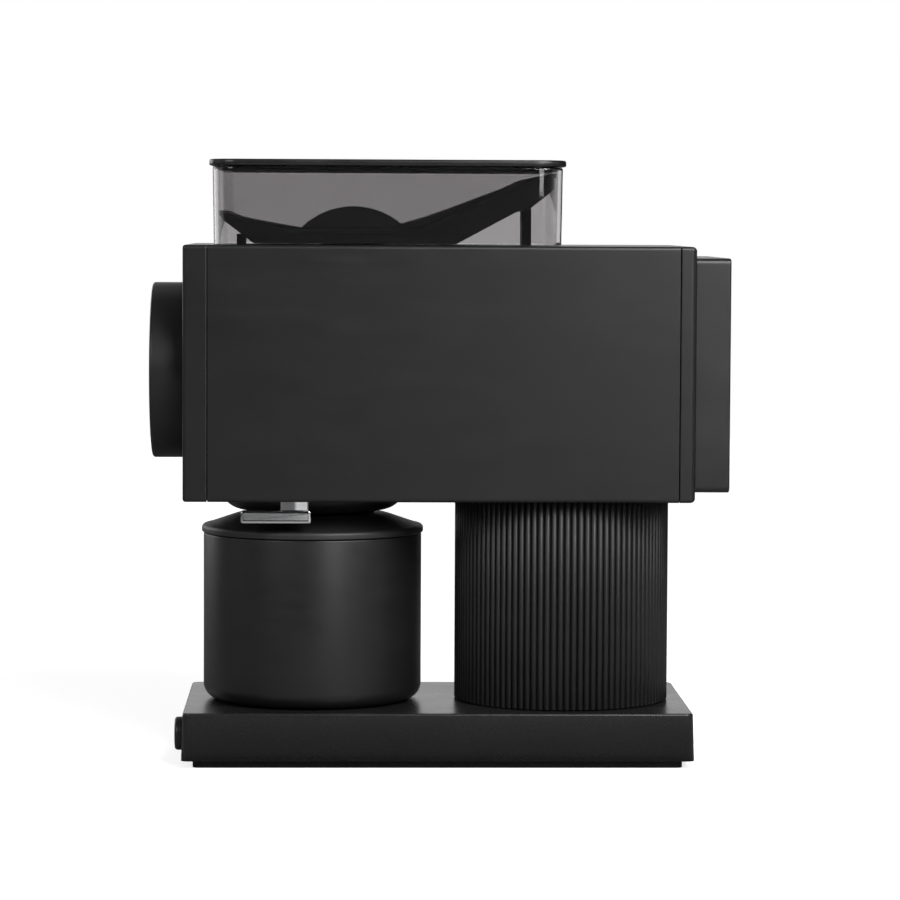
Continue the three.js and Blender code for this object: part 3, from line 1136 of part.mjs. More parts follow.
function makeFunnel(hopper, inset) {
  const rim = funnelRim();
  const [flatRear, ramp, end] = rim.slice(2);
  const bottom = 0.6;
  const postFront = ramp[0] - FUNNEL_POST_WIDTH;
  const underFront = rim[0][0] + 11;
  const underRamp = ramp[1] - FUNNEL_PANEL_DEPTH;
  const outline = polygon([
    ...rim, [end[0], end[1] - 1.7], [ramp[0], ramp[1] - 3], [ramp[0], bottom], [postFront, bottom],
    [postFront, underRamp], [postFront - 2, underRamp], [flatRear[0] + 15, bottom],
    [underFront + 3, bottom], [underFront, bottom + 2.3], [rim[0][0], rim[0][1] - 3],
  ]);
  const throatX = THROAT_X - HOPPER_X;
  const sides = solid(prismZ(hopperOutline(inset), -CUT, HOPPER_HEIGHT));
  const spoutOuter = THROAT_RADIUS + THROAT_WALL;
  const mouth = new THREE.CylinderGeometry(1, THROAT_RADIUS / FUNNEL_MOUTH_HALF_LENGTH, FUNNEL_FLOOR, ROUND)
    .rotateX(Math.PI / 2)
    .scale(FUNNEL_MOUTH_HALF_LENGTH, FUNNEL_MOUTH_HALF_WIDTH, 1)
    .translate(throatX, 0, FUNNEL_FLOOR / 2 + GAP);
  const body = solid(prismY(outline, -HOPPER_WIDTH, HOPPER_WIDTH)).intersect(sides);
  const spout = solid(rodZ(spoutOuter, -THROAT_SPOUT_LENGTH, bottom + CUT, throatX));
  const bore = solid(rodZ(THROAT_RADIUS, -THROAT_SPOUT_LENGTH - CUT, FUNNEL_FLOOR, throatX));
  piece(hopper, 'bean_funnel', cut(join(body, spout), solid(mouth), bore), blackPlastic);
}

function makeGuard(hopper) {
  const throatX = THROAT_X - HOPPER_X;
  const radius = (GUARD_HALF_LENGTH ** 2 + GUARD_HEIGHT ** 2) / (2 * GUARD_HEIGHT);
  const centreZ = FUNNEL_FLOOR + GUARD_HEIGHT - radius;
  const sweep = THREE.MathUtils.radToDeg(Math.asin(GUARD_HALF_LENGTH / radius));
  const arch = arcPoints(throatX, centreZ, radius, 90 - sweep, 90 + sweep, 14);
  const footZ = FUNNEL_FLOOR / 3;
  const slope = (FUNNEL_MOUTH_HALF_LENGTH - THROAT_RADIUS) / FUNNEL_FLOOR;
  const footHalf = GUARD_HALF_LENGTH - (FUNNEL_FLOOR - footZ) * slope - GAP;
  const plate = polygon([...arch, [throatX - footHalf, footZ], [throatX + footHalf, footZ]]);
  const fin = prismY(plate, -GUARD_THICKNESS / 2, GUARD_THICKNESS / 2);
  piece(hopper, 'finger_guard', solid(fin), blackPlastic);
}

function makeLid(hopper) {
  const bottom = HOPPER_HEIGHT + LID_STANDOFF;
  const gasketInset = HOPPER_WALL + GAP / 2;
  const plugInset = gasketInset + GASKET_THICKNESS + GAP / 2;
  const plugBottom = bottom - LID_PLUG_DEPTH - LID_STANDOFF;
  const plug = hopperOutline(plugInset);
  plug.holes.push(hopperOutline(plugInset + LID_PLUG_WALL));
  const top = solid(prismZ(hopperOutline(-LID_OVERHANG), bottom, bottom + LID_THICKNESS, 0.6));
  const lid = join(top, solid(prismZ(plug, plugBottom, bottom + CUT)));
  piece(hopper, 'hopper_lid', lid, blackPlastic);
  const gasket = hopperOutline(gasketInset);
  gasket.holes.push(hopperOutline(gasketInset + GASKET_THICKNESS));
  piece(hopper, 'lid_gasket', solid(prismZ(gasket, plugBottom, bottom - GAP)), blackRubber);
}

// ---- catch cup ----------------------------------------------------------------------------------

function makeCup(root) {
  const cup = frameAt(root, CUP_X, 0, BASE_TOP);
  const inner = CUP_RADIUS - CUP_WALL;
  const floor = GAP + CUP_FLOOR;
  const innerFillet = CUP_FILLET - CUP_WALL;
  const rim = CUP_HEIGHT - GAP;
  const profile = [
    [0, GAP], ...arcPoints(CUP_RADIUS - CUP_FILLET, GAP + CUP_FILLET, CUP_FILLET, -90, 0, 4),
    [CUP_RADIUS, rim], [inner, rim],
    ...arcPoints(inner - innerFillet, floor + innerFillet, innerFillet, 0, -90, 3), [0, floor],
  ];
  const pocket = rodZ(MAGNET_RADIUS + GAP, -CUT, GAP + MAGNET_THICKNESS + GAP);
  piece(cup, 'cup_body', cut(solid(turnZ(profile, FINE)), solid(pocket)), blackCoat);
  const magnet = rodZ(MAGNET_RADIUS, 2 * GAP, GAP + MAGNET_THICKNESS);
  piece(cup, 'cup_magnet', solid(magnet), steel);

  const lip = CUP_RADIUS + CUP_LID_OVERHANG;
  const top = CUP_HEIGHT + CUP_LID_HEIGHT;
  const shoulder = CUP_HEIGHT + CUP_LID_LIP;
  const plug = inner - GAP;
  const knee = CUP_LID_MOUTH + CUP_LID_BRIM;
  const kneeHeight = top - CUP_LID_BRIM_FALL;
  const lid = turnZ(closed([
    [lip, CUP_HEIGHT], [lip, shoulder], [lip - 0.4, shoulder + 0.9], [lip - 1.5, shoulder + 1.7],
    [knee, kneeHeight], [CUP_LID_MOUTH, top], [CUP_LID_MOUTH - 1.5, top], [CUP_LID_MOUTH - 1.5, top - 1.2],
    [knee - 1, kneeHeight - CUP_LID_WALL], [plug - CUP_LID_WALL, CUP_HEIGHT + 0.4],
    [plug - CUP_LID_WALL, CUP_HEIGHT - CUP_LID_PLUG_DEPTH], [plug, CUP_HEIGHT - CUP_LID_PLUG_DEPTH],
    [plug, CUP_HEIGHT],
  ]), FINE);
  piece(cup, 'cup_lid', solid(lid), blackPlastic);
}

// ---- the whole grinder --------------------------------------------------------------------------

const grinder = new THREE.Group();
grinder.name = 'coffee_grinder';
makeBase(grinder);
makeColumn(grinder);
makeBody(grinder);
const axis = frameAt(grinder, 0, 0, AXIS_Z);
makeDial(axis);
makeAdjuster(axis);
makeBurrs(axis);
makeChamber(axis);
makeMotor(axis);
makeChute(grinder);
makeKnocker(grinder);
makeHopper(grinder);
makeCup(grinder);

export default grinder;
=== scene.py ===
"""Burr coffee grinder: the finished pieces, their materials, and a plain studio round them."""

import json
import math

import bmesh
import bpy
from mathutils import Matrix, Vector


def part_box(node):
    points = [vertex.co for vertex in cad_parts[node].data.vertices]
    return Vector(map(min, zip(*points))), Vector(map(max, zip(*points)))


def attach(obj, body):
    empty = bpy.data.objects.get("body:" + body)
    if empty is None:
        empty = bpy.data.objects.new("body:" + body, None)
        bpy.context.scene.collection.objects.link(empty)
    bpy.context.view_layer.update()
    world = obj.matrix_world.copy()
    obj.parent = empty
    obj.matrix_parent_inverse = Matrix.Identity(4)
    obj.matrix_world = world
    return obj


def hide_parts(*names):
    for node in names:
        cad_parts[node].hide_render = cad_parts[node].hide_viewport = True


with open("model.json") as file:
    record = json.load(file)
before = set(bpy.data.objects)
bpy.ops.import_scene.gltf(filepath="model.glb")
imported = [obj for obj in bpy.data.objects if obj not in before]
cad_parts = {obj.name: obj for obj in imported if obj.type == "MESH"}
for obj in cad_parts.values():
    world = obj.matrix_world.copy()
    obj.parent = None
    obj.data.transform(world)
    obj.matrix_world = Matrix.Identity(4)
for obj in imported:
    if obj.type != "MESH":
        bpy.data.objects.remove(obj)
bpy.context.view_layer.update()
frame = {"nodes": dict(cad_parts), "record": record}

MM = 0.001
HAIR = 0.05 * MM  # tells two planes apart
STRIP = 0.2 * MM  # a narrow strip beside a rounded edge keeps the flat next to it flat
X, Y, Z = 0, 1, 2


# ---- node helpers -------------------------------------------------------------------------------

def new_material(name):
    material = bpy.data.materials.new(name)
    material.use_nodes = True
    nodes = material.node_tree.nodes
    links = material.node_tree.links
    return material, nodes, links, nodes["Principled BSDF"]


def object_noise(nodes, links, scale, detail=4.0, roughness=0.55, stretch=(1, 1, 1)):
    """Noise over the piece's own coordinates; scale is in cells per metre."""
    place = nodes.new("ShaderNodeTexCoord")
    mapping = nodes.new("ShaderNodeMapping")
    mapping.inputs["Scale"].default_value = stretch
    noise = nodes.new("ShaderNodeTexNoise")
    noise.inputs["Scale"].default_value = scale
    noise.inputs["Detail"].default_value = detail
    noise.inputs["Roughness"].default_value = roughness
    links.new(place.outputs["Object"], mapping.inputs["Vector"])
    links.new(mapping.outputs["Vector"], noise.inputs["Vector"])
    return noise.outputs["Fac"]


def remap(nodes, links, value, low, high, from_low=0.3, from_high=0.7):
    """Spreads the middle of a noise over the range from low to high."""
    node = nodes.new("ShaderNodeMapRange")
    node.inputs["From Min"].default_value = from_low
    node.inputs["From Max"].default_value = from_high
    node.inputs["To Min"].default_value = low
    node.inputs["To Max"].default_value = high
    links.new(value, node.inputs["Value"])
    return node.outputs["Result"]


def blend_colours(nodes, links, value, dark, light):
    mix = nodes.new("ShaderNodeMix")
    mix.data_type = "RGBA"
    mix.inputs["A"].default_value = (*dark, 1)
    mix.inputs["B"].default_value = (*light, 1)
    links.new(value, mix.inputs["Factor"])
    return mix.outputs["Result"]


def bump(nodes, links, height, depth, under=None):
    """A bump of the given depth in metres, on top of another one."""
    node = nodes.new("ShaderNodeBump")
    node.inputs["Strength"].default_value = 1.0
    node.inputs["Distance"].default_value = depth
    links.new(height, node.inputs["Height"])
    if under is not None:
        links.new(under, node.inputs["Normal"])
    return node.outputs["Normal"]


# ---- materials ----------------------------------------------------------------------------------

def coated_metal(name, dark, light, rough_low, rough_high, grain_depth, grain_scale=2600):
    """Powder coat: a fine pebbled film, a little uneven in gloss, with faint handling marks."""
    material, nodes, links, shader = new_material(name)
    cloud = object_noise(nodes, links, 38, detail=3)
    grain = object_noise(nodes, links, grain_scale, detail=2)
    smear = object_noise(nodes, links, 120, detail=5, stretch=(0.4, 0.4, 1.6))
    shade = remap(nodes, links, cloud, 0, 1)
    links.new(blend_colours(nodes, links, shade, dark, light), shader.inputs["Base Color"])
    rough = nodes.new("ShaderNodeMath")
    rough.operation = "ADD"
    links.new(remap(nodes, links, smear, rough_low, rough_high), rough.inputs[0])
    links.new(remap(nodes, links, grain, -0.03, 0.03), rough.inputs[1])
    links.new(rough.outputs[0], shader.inputs["Roughness"])
    links.new(bump(nodes, links, grain, grain_depth), shader.inputs["Normal"])
    return material


def moulded_plastic(name, dark, light, rough_low, rough_high, grain_depth=0.006 * MM):
    """Spark-eroded mould texture on a satin plastic."""
    material, nodes, links, shader = new_material(name)
    cloud = object_noise(nodes, links, 55, detail=2)
    grain = object_noise(nodes, links, 3800, detail=3, roughness=0.7)
    wave = object_noise(nodes, links, 60, detail=1)
    shade = remap(nodes, links, cloud, 0, 1)
    links.new(blend_colours(nodes, links, shade, dark, light), shader.inputs["Base Color"])
    links.new(remap(nodes, links, cloud, rough_low, rough_high), shader.inputs["Roughness"])
    soft = bump(nodes, links, wave, 0.02 * MM)
    links.new(bump(nodes, links, grain, grain_depth, soft), shader.inputs["Normal"])
    return material


def black_rubber(name):
    material, nodes, links, shader = new_material(name)
    dust = object_noise(nodes, links, 300, detail=6)
    grain = object_noise(nodes, links, 1800, detail=4)
    shade = remap(nodes, links, dust, 0, 1)
    links.new(blend_colours(nodes, links, shade, (0.011, 0.011, 0.011), (0.020, 0.020, 0.019)),
              shader.inputs["Base Color"])
    links.new(remap(nodes, links, dust, 0.70, 0.86), shader.inputs["Roughness"])
    links.new(bump(nodes, links, grain, 0.02 * MM), shader.inputs["Normal"])
    return material


def smoked_clear(name, tint, scratch_depth=0.004 * MM):
    """Clear smoked plastic: tinted where light passes through, with fine wipe marks in its gloss."""
    material, nodes, links, shader = new_material(name)
    shader.inputs["Transmission Weight"].default_value = 1.0
    shader.inputs["IOR"].default_value = 1.49
    cloud = object_noise(nodes, links, 30, detail=2)
    wipe = object_noise(nodes, links, 700, detail=4, stretch=(0.1, 0.1, 1))
    shade = remap(nodes, links, cloud, 0, 1)
    lighter = tuple(value * 1.015 for value in tint)
    links.new(blend_colours(nodes, links, shade, tint, lighter), shader.inputs["Base Color"])
    links.new(remap(nodes, links, wipe, 0.012, 0.035), shader.inputs["Roughness"])
    links.new(bump(nodes, links, wipe, scratch_depth), shader.inputs["Normal"])
    return material


def bright_metal(name, colour, rough_low, rough_high, scale=900, stretch=(1, 1, 1), depth=0.002 * MM):
    """Bare metal with machining or polishing lines along its unstretched directions."""
    material, nodes, links, shader = new_material(name)
    shader.inputs["Metallic"].default_value = 1.0
    lines = object_noise(nodes, links, scale, detail=5, stretch=stretch)
    stain = object_noise(nodes, links, 90, detail=4)
    dark = tuple(value * 0.88 for value in colour)
    shade = remap(nodes, links, stain, 0, 1)
    links.new(blend_colours(nodes, links, shade, dark, colour), shader.inputs["Base Color"])
    links.new(remap(nodes, links, lines, rough_low, rough_high), shader.inputs["Roughness"])
    links.new(bump(nodes, links, lines, depth), shader.inputs["Normal"])
    return material


def enamelled_wire(name):
    material, nodes, links, shader = new_material(name)
    place = nodes.new("ShaderNodeTexCoord")
    wave = nodes.new("ShaderNodeTexWave")
    wave.inputs["Scale"].default_value = 420
    wave.inputs["Distortion"].default_value = 2.0
    links.new(place.outputs["Object"], wave.inputs["Vector"])
    links.new(blend_colours(nodes, links, wave.outputs["Fac"], (0.28, 0.09, 0.03), (0.72, 0.33, 0.13)),
              shader.inputs["Base Color"])
    shader.inputs["Metallic"].default_value = 0.8
    shader.inputs["Roughness"].default_value = 0.34
    links.new(bump(nodes, links, wave.outputs["Fac"], 0.15 * MM), shader.inputs["Normal"])
    return material


def circuit_board(name):
    """Green lacquer over a maze of copper tracks."""
    material, nodes, links, shader = new_material(name)
    place = nodes.new("ShaderNodeTexCoord")
    cells = nodes.new("ShaderNodeTexVoronoi")
    cells.distance = "CHEBYCHEV"
    cells.inputs["Scale"].default_value = 260
    links.new(place.outputs["Object"], cells.inputs["Vector"])
    tracks = remap(nodes, links, cells.outputs["Distance"], 0, 1, 0.28, 0.34)
    links.new(blend_colours(nodes, links, tracks, (0.015, 0.10, 0.05), (0.05, 0.20, 0.10)),
              shader.inputs["Base Color"])
    shader.inputs["Roughness"].default_value = 0.3
    links.new(bump(nodes, links, tracks, 0.04 * MM), shader.inputs["Normal"])
    return material


def marking_paint(name):
    material, nodes, links, shader = new_material(name)
    speck = object_noise(nodes, links, 2400, detail=3)
    shade = remap(nodes, links, speck, 0, 1)
    links.new(blend_colours(nodes, links, shade, (0.50, 0.50, 0.49), (0.62, 0.62, 0.61)),
              shader.inputs["Base Color"])
    links.new(remap(nodes, links, speck, 0.45, 0.6), shader.inputs["Roughness"])
    return material


HOUSING_COAT = coated_metal("housing_coat", (0.0090, 0.0090, 0.0094), (0.0115, 0.0115, 0.0119),
                            0.31, 0.36, 0.010 * MM)
PLATE_COAT = coated_metal("plate_coat", (0.0090, 0.0090, 0.0094), (0.0115, 0.0115, 0.0119),
                          0.31, 0.36, 0.010 * MM)
BASE_COAT = coated_metal("base_coat", (0.0120, 0.0120, 0.0125), (0.0150, 0.0150, 0.0155),
                         0.26, 0.31, 0.004 * MM)
COLUMN_COAT = coated_metal("column_coat", (0.0100, 0.0100, 0.0105), (0.0140, 0.0140, 0.0145),
                           0.38, 0.46, 0.004 * MM)
DIAL_COAT = coated_metal("dial_coat", (0.0110, 0.0110, 0.0112), (0.0140, 0.0140, 0.0143),
                         0.38, 0.46, 0.006 * MM)
CUP_COAT = coated_metal("cup_coat", (0.0090, 0.0090, 0.0092), (0.0120, 0.0120, 0.0122),
                        0.34, 0.42, 0.006 * MM)
SATIN_BLACK = moulded_plastic("satin_black_plastic", (0.0100, 0.0100, 0.0102), (0.0135, 0.0135, 0.0138),
                              0.36, 0.46)
LID_BLACK = moulded_plastic("lid_black_plastic", (0.0090, 0.0090, 0.0092), (0.0120, 0.0120, 0.0122),
                            0.24, 0.30)
CUP_LID_BLACK = moulded_plastic("cup_lid_black_plastic", (0.0160, 0.0160, 0.0162), (0.0210, 0.0210, 0.0212),
                                0.42, 0.50)
FUNNEL_BLACK = moulded_plastic("funnel_black_plastic", (0.0240, 0.0232, 0.0236), (0.0300, 0.0292, 0.0296),
                               0.42, 0.52)
COVER_BLACK = moulded_plastic("cover_black_plastic", (0.0120, 0.0120, 0.0123), (0.0160, 0.0160, 0.0164),
                              0.30, 0.36)
RUBBER = black_rubber("black_rubber")
SMOKE_OUTER = smoked_clear("smoked_hopper", (0.572, 0.562, 0.567))
SMOKE_INNER = smoked_clear("smoked_bin", (0.805, 0.796, 0.800))
CHROME = bright_metal("polished_chrome", (0.90, 0.91, 0.92), 0.09, 0.13, scale=1400, stretch=(0.2, 1, 1))
STEEL = bright_metal("machined_steel", (0.56, 0.56, 0.57), 0.22, 0.36, stretch=(0.15, 1, 1))
CAST_ALUMINIUM = bright_metal("cast_aluminium", (0.66, 0.67, 0.68), 0.38, 0.55, scale=1500, depth=0.03 * MM)
COPPER = enamelled_wire("enamelled_copper")
BOARD = circuit_board("circuit_board")
MARKING = marking_paint("grey_marking")


# ---- shaping helpers ----------------------------------------------------------------------------

def block(low, high):
    bm = bmesh.new()
    add_block(bm, low, high)
    return bm


def add_block(bm, low, high):
    low, high = Vector(low), Vector(high)
    made = bmesh.ops.create_cube(bm, size=1.0)
    bmesh.ops.scale(bm, vec=high - low, verts=made["verts"])
    bmesh.ops.translate(bm, vec=(low + high) / 2, verts=made["verts"])
    return made["verts"]


def edges_along(bm, axis):
    return [edge for edge in bm.edges
            if abs((edge.verts[1].co - edge.verts[0].co).normalized()[axis]) > 0.999]


def edges_at(bm, axis, place):
    return [edge for edge in bm.edges if all(abs(vert.co[axis] - place) < HAIR for vert in edge.verts)]


def faces_at(bm, axis, place):
    return [face for face in bm.faces if all(abs(vert.co[axis] - place) < HAIR for vert in face.verts)]


def round_over(bm, edges, radius, segments):
    bmesh.ops.bevel(bm, geom=edges, offset=radius, segments=segments, profile=0.5,
                    affect="EDGES", material=-1)


def slice_at(bm, axis, places):
    """Cuts the mesh along planes across an axis, and keeps both sides."""
    normal = [0, 0, 0]
    normal[axis] = 1
    for place in places:
        point = [0, 0, 0]
        point[axis] = place
        geometry = bm.verts[:] + bm.edges[:] + bm.faces[:]
        bmesh.ops.bisect_plane(bm, geom=geometry, dist=1e-7, plane_co=point, plane_no=normal)


def brace(bm, low, high, axes, radius):
    """Loops just inside the rounded edges, which keep the flats flat when they are shaded smooth."""
    margin = radius + 3 * STRIP
    for axis in axes:
        slice_at(bm, axis, (low[axis] + margin, high[axis] - margin))


def delete_faces(bm, faces):
    bmesh.ops.delete(bm, geom=faces, context="FACES")


def circle(bm, axis, centre, radius, segments):
    """A loop of edges round an axis; it returns the edges."""
    made = bmesh.ops.create_circle(bm, cap_ends=False, radius=radius, segments=segments)
    turn = {X: Matrix.Rotation(math.pi / 2, 4, "Y"), Y: Matrix.Rotation(math.pi / 2, 4, "X"),
            Z: Matrix.Identity(4)}[axis]
    bmesh.ops.transform(bm, matrix=Matrix.Translation(centre) @ turn, verts=made["verts"])
    return loop_edges(made["verts"])


def loop_edges(verts):
    """The edges at these corners, each once and in the same order every run."""
    return list(dict.fromkeys(edge for vert in verts for edge in vert.link_edges))


def bridge(bm, first, second):
    bmesh.ops.bridge_loops(bm, edges=first + second)


def turned(points, axis, centre, segments=96):
    """A closed profile of (along, radius) points turned about an axis through a centre."""
    bm = bmesh.new()
    add_turned(bm, points, axis, centre, segments)
    return bm


def add_turned(bm, points, axis, centre, segments=96):
    side = {X: Z, Y: Z, Z: X}[axis]
    verts = []
    for along, radius in points:
        place = Vector(centre)
        place[axis] = along
        place[side] += radius
        verts.append(bm.verts.new(place))
    on_axis = points[0][1] == 0 and points[-1][1] == 0
    pairs = list(zip(verts, verts[1:])) + ([] if on_axis else [(verts[-1], verts[0])])
    edges = [bm.edges.new(pair) for pair in pairs]
    direction = [0, 0, 0]
    direction[axis] = 1
    bmesh.ops.spin(bm, geom=verts + edges, cent=centre, axis=direction, dvec=(0, 0, 0),
                   angle=2 * math.pi, steps=segments, use_merge=True)
    bmesh.ops.remove_doubles(bm, verts=bm.verts, dist=1e-6)


def arc(centre_along, centre_radius, radius, start, end, steps):
    """Points on an arc, as (along, radius); the angles are in degrees from the along direction."""
    points = []
    for i in range(steps + 1):
        angle = math.radians(start + (end - start) * i / steps)
        points.append((centre_along + radius * math.cos(angle), centre_radius + radius * math.sin(angle)))
    return points


def rounded_rectangle(half_x, half_y, corner, centre, steps=10):
    """Points round a rounded rectangle, anticlockwise from the middle of its +X side."""
    points = [Vector((centre.x + half_x, centre.y))]
    for corner_index, (side_x, side_y) in enumerate(((1, 1), (-1, 1), (-1, -1), (1, -1))):
        for i in range(steps + 1):
            angle = math.pi / 2 * (corner_index + i / steps)
            points.append(Vector((centre.x + side_x * (half_x - corner) + corner * math.cos(angle),
                                  centre.y + side_y * (half_y - corner) + corner * math.sin(angle))))
    return points


def even_spread(points, count, height):
    """The same number of points on every loop, evenly along it; height gives each one's z from its x."""
    ends = points[1:] + points[:1]
    lengths = [0.0]
    for here, there in zip(points, ends):
        lengths.append(lengths[-1] + (there - here).length)
    spread = []
    index = 0
    for i in range(count):
        target = lengths[-1] * i / count
        while lengths[index + 1] < target:
            index += 1
        share = (target - lengths[index]) / max(lengths[index + 1] - lengths[index], 1e-9)
        place = points[index].lerp(ends[index], share)
        spread.append(Vector((place.x, place.y, height(place.x))))
    return spread


def move_to(verts, points):
    for vert, point in zip(verts, points):
        vert.co = point


def ring_edges(ring):
    corners = set(ring)
    return [edge for edge in loop_edges(ring) if edge.verts[0] in corners and edge.verts[1] in corners]


def grow_ring(bm, ring, points):
    """Extrudes a closed ring to new places, each corner to its own, and returns the new ring."""
    made = bmesh.ops.extrude_edge_only(bm, edges=ring_edges(ring))
    fresh = {item for item in made["geom"] if isinstance(item, bmesh.types.BMVert)}
    grown = [next(edge.other_vert(vert) for edge in vert.link_edges if edge.other_vert(vert) in fresh)
             for vert in ring]
    move_to(grown, points)
    return grown


def loft(bm, loops, closed=True):
    """Draws a wall out through loops of points; a closed one comes back to its first loop."""
    ring = bmesh.ops.create_circle(bm, cap_ends=False, radius=1, segments=len(loops[0]))["verts"]
    move_to(ring, loops[0])
    ends = [ring]
    for points in loops[1:] + (loops[:1] if closed else []):
        ring = grow_ring(bm, ring, points)
    ends.append(ring)
    return ends


def finish_piece(bm, name, body, nodes, material, smooth=32):
    bmesh.ops.remove_doubles(bm, verts=bm.verts, dist=1e-6)
    bmesh.ops.recalc_face_normals(bm, faces=bm.faces)
    mesh = bpy.data.meshes.new(name)
    bm.to_mesh(mesh)
    bm.free()
    mesh.shade_smooth()
    mesh.set_sharp_from_angle(angle=math.radians(smooth))
    mesh.materials.append(material)
    piece = bpy.data.objects.new(name, mesh)
    bpy.context.scene.collection.objects.link(piece)
    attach(piece, body)
    if nodes:
        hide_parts(*nodes)
    return piece


def give_wall(piece, thickness):
    """A wall grown inwards from the outer skin, closed along its openings."""
    wall = piece.modifiers.new("wall", "SOLIDIFY")
    wall.thickness = thickness
    wall.offset = -1
    wall.use_even_offset = True
    return wall


def soften(piece, width, segments=2):
    """A small round on the edges that are still sharp."""
    edge = piece.modifiers.new("soft_edges", "BEVEL")
    edge.width = width
    edge.segments = segments
    edge.limit_method = "ANGLE"
    edge.angle_limit = math.radians(50)
    edge.harden_normals = True
    return edge


# ---- base ---------------------------------------------------------------------------------------

def base_shell():
    low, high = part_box("base_shell")
    button_low, button_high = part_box("start_button")
    corner, edge, wall = 3 * MM, 0.8 * MM, 3 * MM
    bm = block(low, high)
    round_over(bm, edges_along(bm, Z), corner, 8)
    round_over(bm, edges_at(bm, Z, high.z), edge, 4)
    delete_faces(bm, faces_at(bm, Z, low.z))
    brace(bm, low, high, (X, Y), corner)
    slice_at(bm, Z, (high.z - edge - STRIP,))
    middle_z = (button_low.z + button_high.z) / 2
    button_y = (button_low.y + button_high.y) / 2
    # A square patch round each hole: the button's in front, the cord gland's behind.
    patch = 10 * MM
    slice_at(bm, Y, (button_y - patch, button_y + patch, -patch, patch))
    button_hole = (button_high.z - button_low.z) / 2 + 0.3 * MM
    gland_hole = 6 * MM
    for place, y, radius in ((low.x, button_y, button_hole), (high.x, 0, gland_hole)):
        face = next(face for face in faces_at(bm, X, place)
                    if abs(face.calc_center_median().y - y) < 1 * MM
                    and abs(face.calc_center_median().z - middle_z) < 4 * MM)
        outer = list(face.edges)
        bmesh.ops.delete(bm, geom=[face], context="FACES_ONLY")
        bridge(bm, outer, circle(bm, X, (place, y, middle_z), radius, 48))
    # The sides draw in a little towards the top.
    draft = 0.6 * MM
    for vert in bm.verts:
        drawn = draft * (vert.co.z - low.z) / (high.z - low.z)
        vert.co.x *= 1 - drawn / high.x
        vert.co.y *= 1 - drawn / high.y
    piece = finish_piece(bm, "base_cover", "frame", ["base_shell"], BASE_COAT)
    give_wall(piece, wall)


def foot_pad():
    low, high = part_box("foot_pad")
    bm = block(low, high)
    round_over(bm, edges_along(bm, Z), 2.5 * MM, 8)
    round_over(bm, edges_at(bm, Z, low.z), 0.3 * MM, 3)
    finish_piece(bm, "rubber_foot", "frame", ["foot_pad"], RUBBER)


def start_button():
    low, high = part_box("start_button")
    centre = (low + high) / 2
    radius = (high.z - low.z) / 2
    stem = 2.5 * MM
    ear_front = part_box("base_shell")[0].x + 3.3 * MM
    ear_back = ear_front + 1.5 * MM
    edge = 1.3 * MM
    profile = [(low.x + 0.5 * MM, 0), (low.x + 0.35 * MM, radius * 0.45), (low.x, radius - edge - 0.4 * MM)]
    profile += arc(low.x + edge, radius - edge, edge, 180, 90, 6)
    profile += [(ear_back, radius), (ear_back, stem), (high.x, stem), (high.x, 0)]
    bm = turned(profile, X, (0, centre.y, centre.z), 64)
    add_block(bm, (ear_front, low.y, centre.z - 4 * MM), (ear_back, high.y, centre.z + 4 * MM))
    finish_piece(bm, "start_button_cap", "start_button", ["start_button"], SATIN_BLACK)


# ---- column -------------------------------------------------------------------------------------

def column_sleeve():
    low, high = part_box("column_sleeve")
    centre = (low + high) / 2
    radius = (high.x - low.x) / 2
    ribs = 100
    pitch = 2 * math.pi / ribs
    rib_radius = 0.41 * pitch * radius
    groove = 1.6 * MM
    inner = radius - 4.5 * MM
    crown_steps = 8
    bm = bmesh.new()
    verts = []
    for i in range(crown_steps + 1):
        swing = math.radians(-84 + 168 * i / crown_steps)
        across = rib_radius * math.sin(swing)
        depth = rib_radius * (1 - math.cos(swing))
        reach = radius - min(depth, groove)
        verts.append(bm.verts.new((centre.x + reach, across, low.z)))
    for side in (1, -1):
        angle = side * pitch * 0.5
        reach = radius - groove
        floor = bm.verts.new((centre.x + reach * math.cos(angle), reach * math.sin(angle), low.z))
        verts = verts + [floor] if side == 1 else [floor] + verts
    edges = [bm.edges.new(pair) for pair in zip(verts, verts[1:])]
    bmesh.ops.spin(bm, geom=verts + edges, cent=(centre.x, 0, 0), axis=(0, 0, 1), dvec=(0, 0, 0),
                   angle=2 * math.pi, steps=ribs, use_duplicate=True)
    bmesh.ops.remove_doubles(bm, verts=bm.verts, dist=2e-6)
    chamfer = 0.4 * MM
    rings = [(low.z, inner), (low.z, -chamfer), (low.z + chamfer, 0), (high.z - chamfer, 0),
             (high.z, -chamfer), (high.z, inner)]
    outline = [(vert, vert.co.copy()) for vert in bm.verts]
    source = bm.edges[:]
    previous = None
    first = None
    for height, change in rings:
        made = bmesh.ops.duplicate(bm, geom=[vert for vert, _ in outline] + source)
        mapping = made["vert_map"]
        for vert, place in outline:
            out = Vector((place.x - centre.x, place.y))
            length = inner if change == inner else out.length + change
            out = out.normalized() * length
            mapping[vert].co = (centre.x + out.x, out.y, height)
        ring = loop_edges([mapping[vert] for vert, _ in outline])
        if previous:
            bridge(bm, previous, ring)
        first = first or ring
        previous = ring
    bridge(bm, previous, first)
    bmesh.ops.delete(bm, geom=[vert for vert, _ in outline], context="VERTS")
    finish_piece(bm, "fluted_sleeve", "frame", ["column_sleeve"], COLUMN_COAT, smooth=50)


# ---- body casing --------------------------------------------------------------------------------

BODY_CORNER = 1.4 * MM


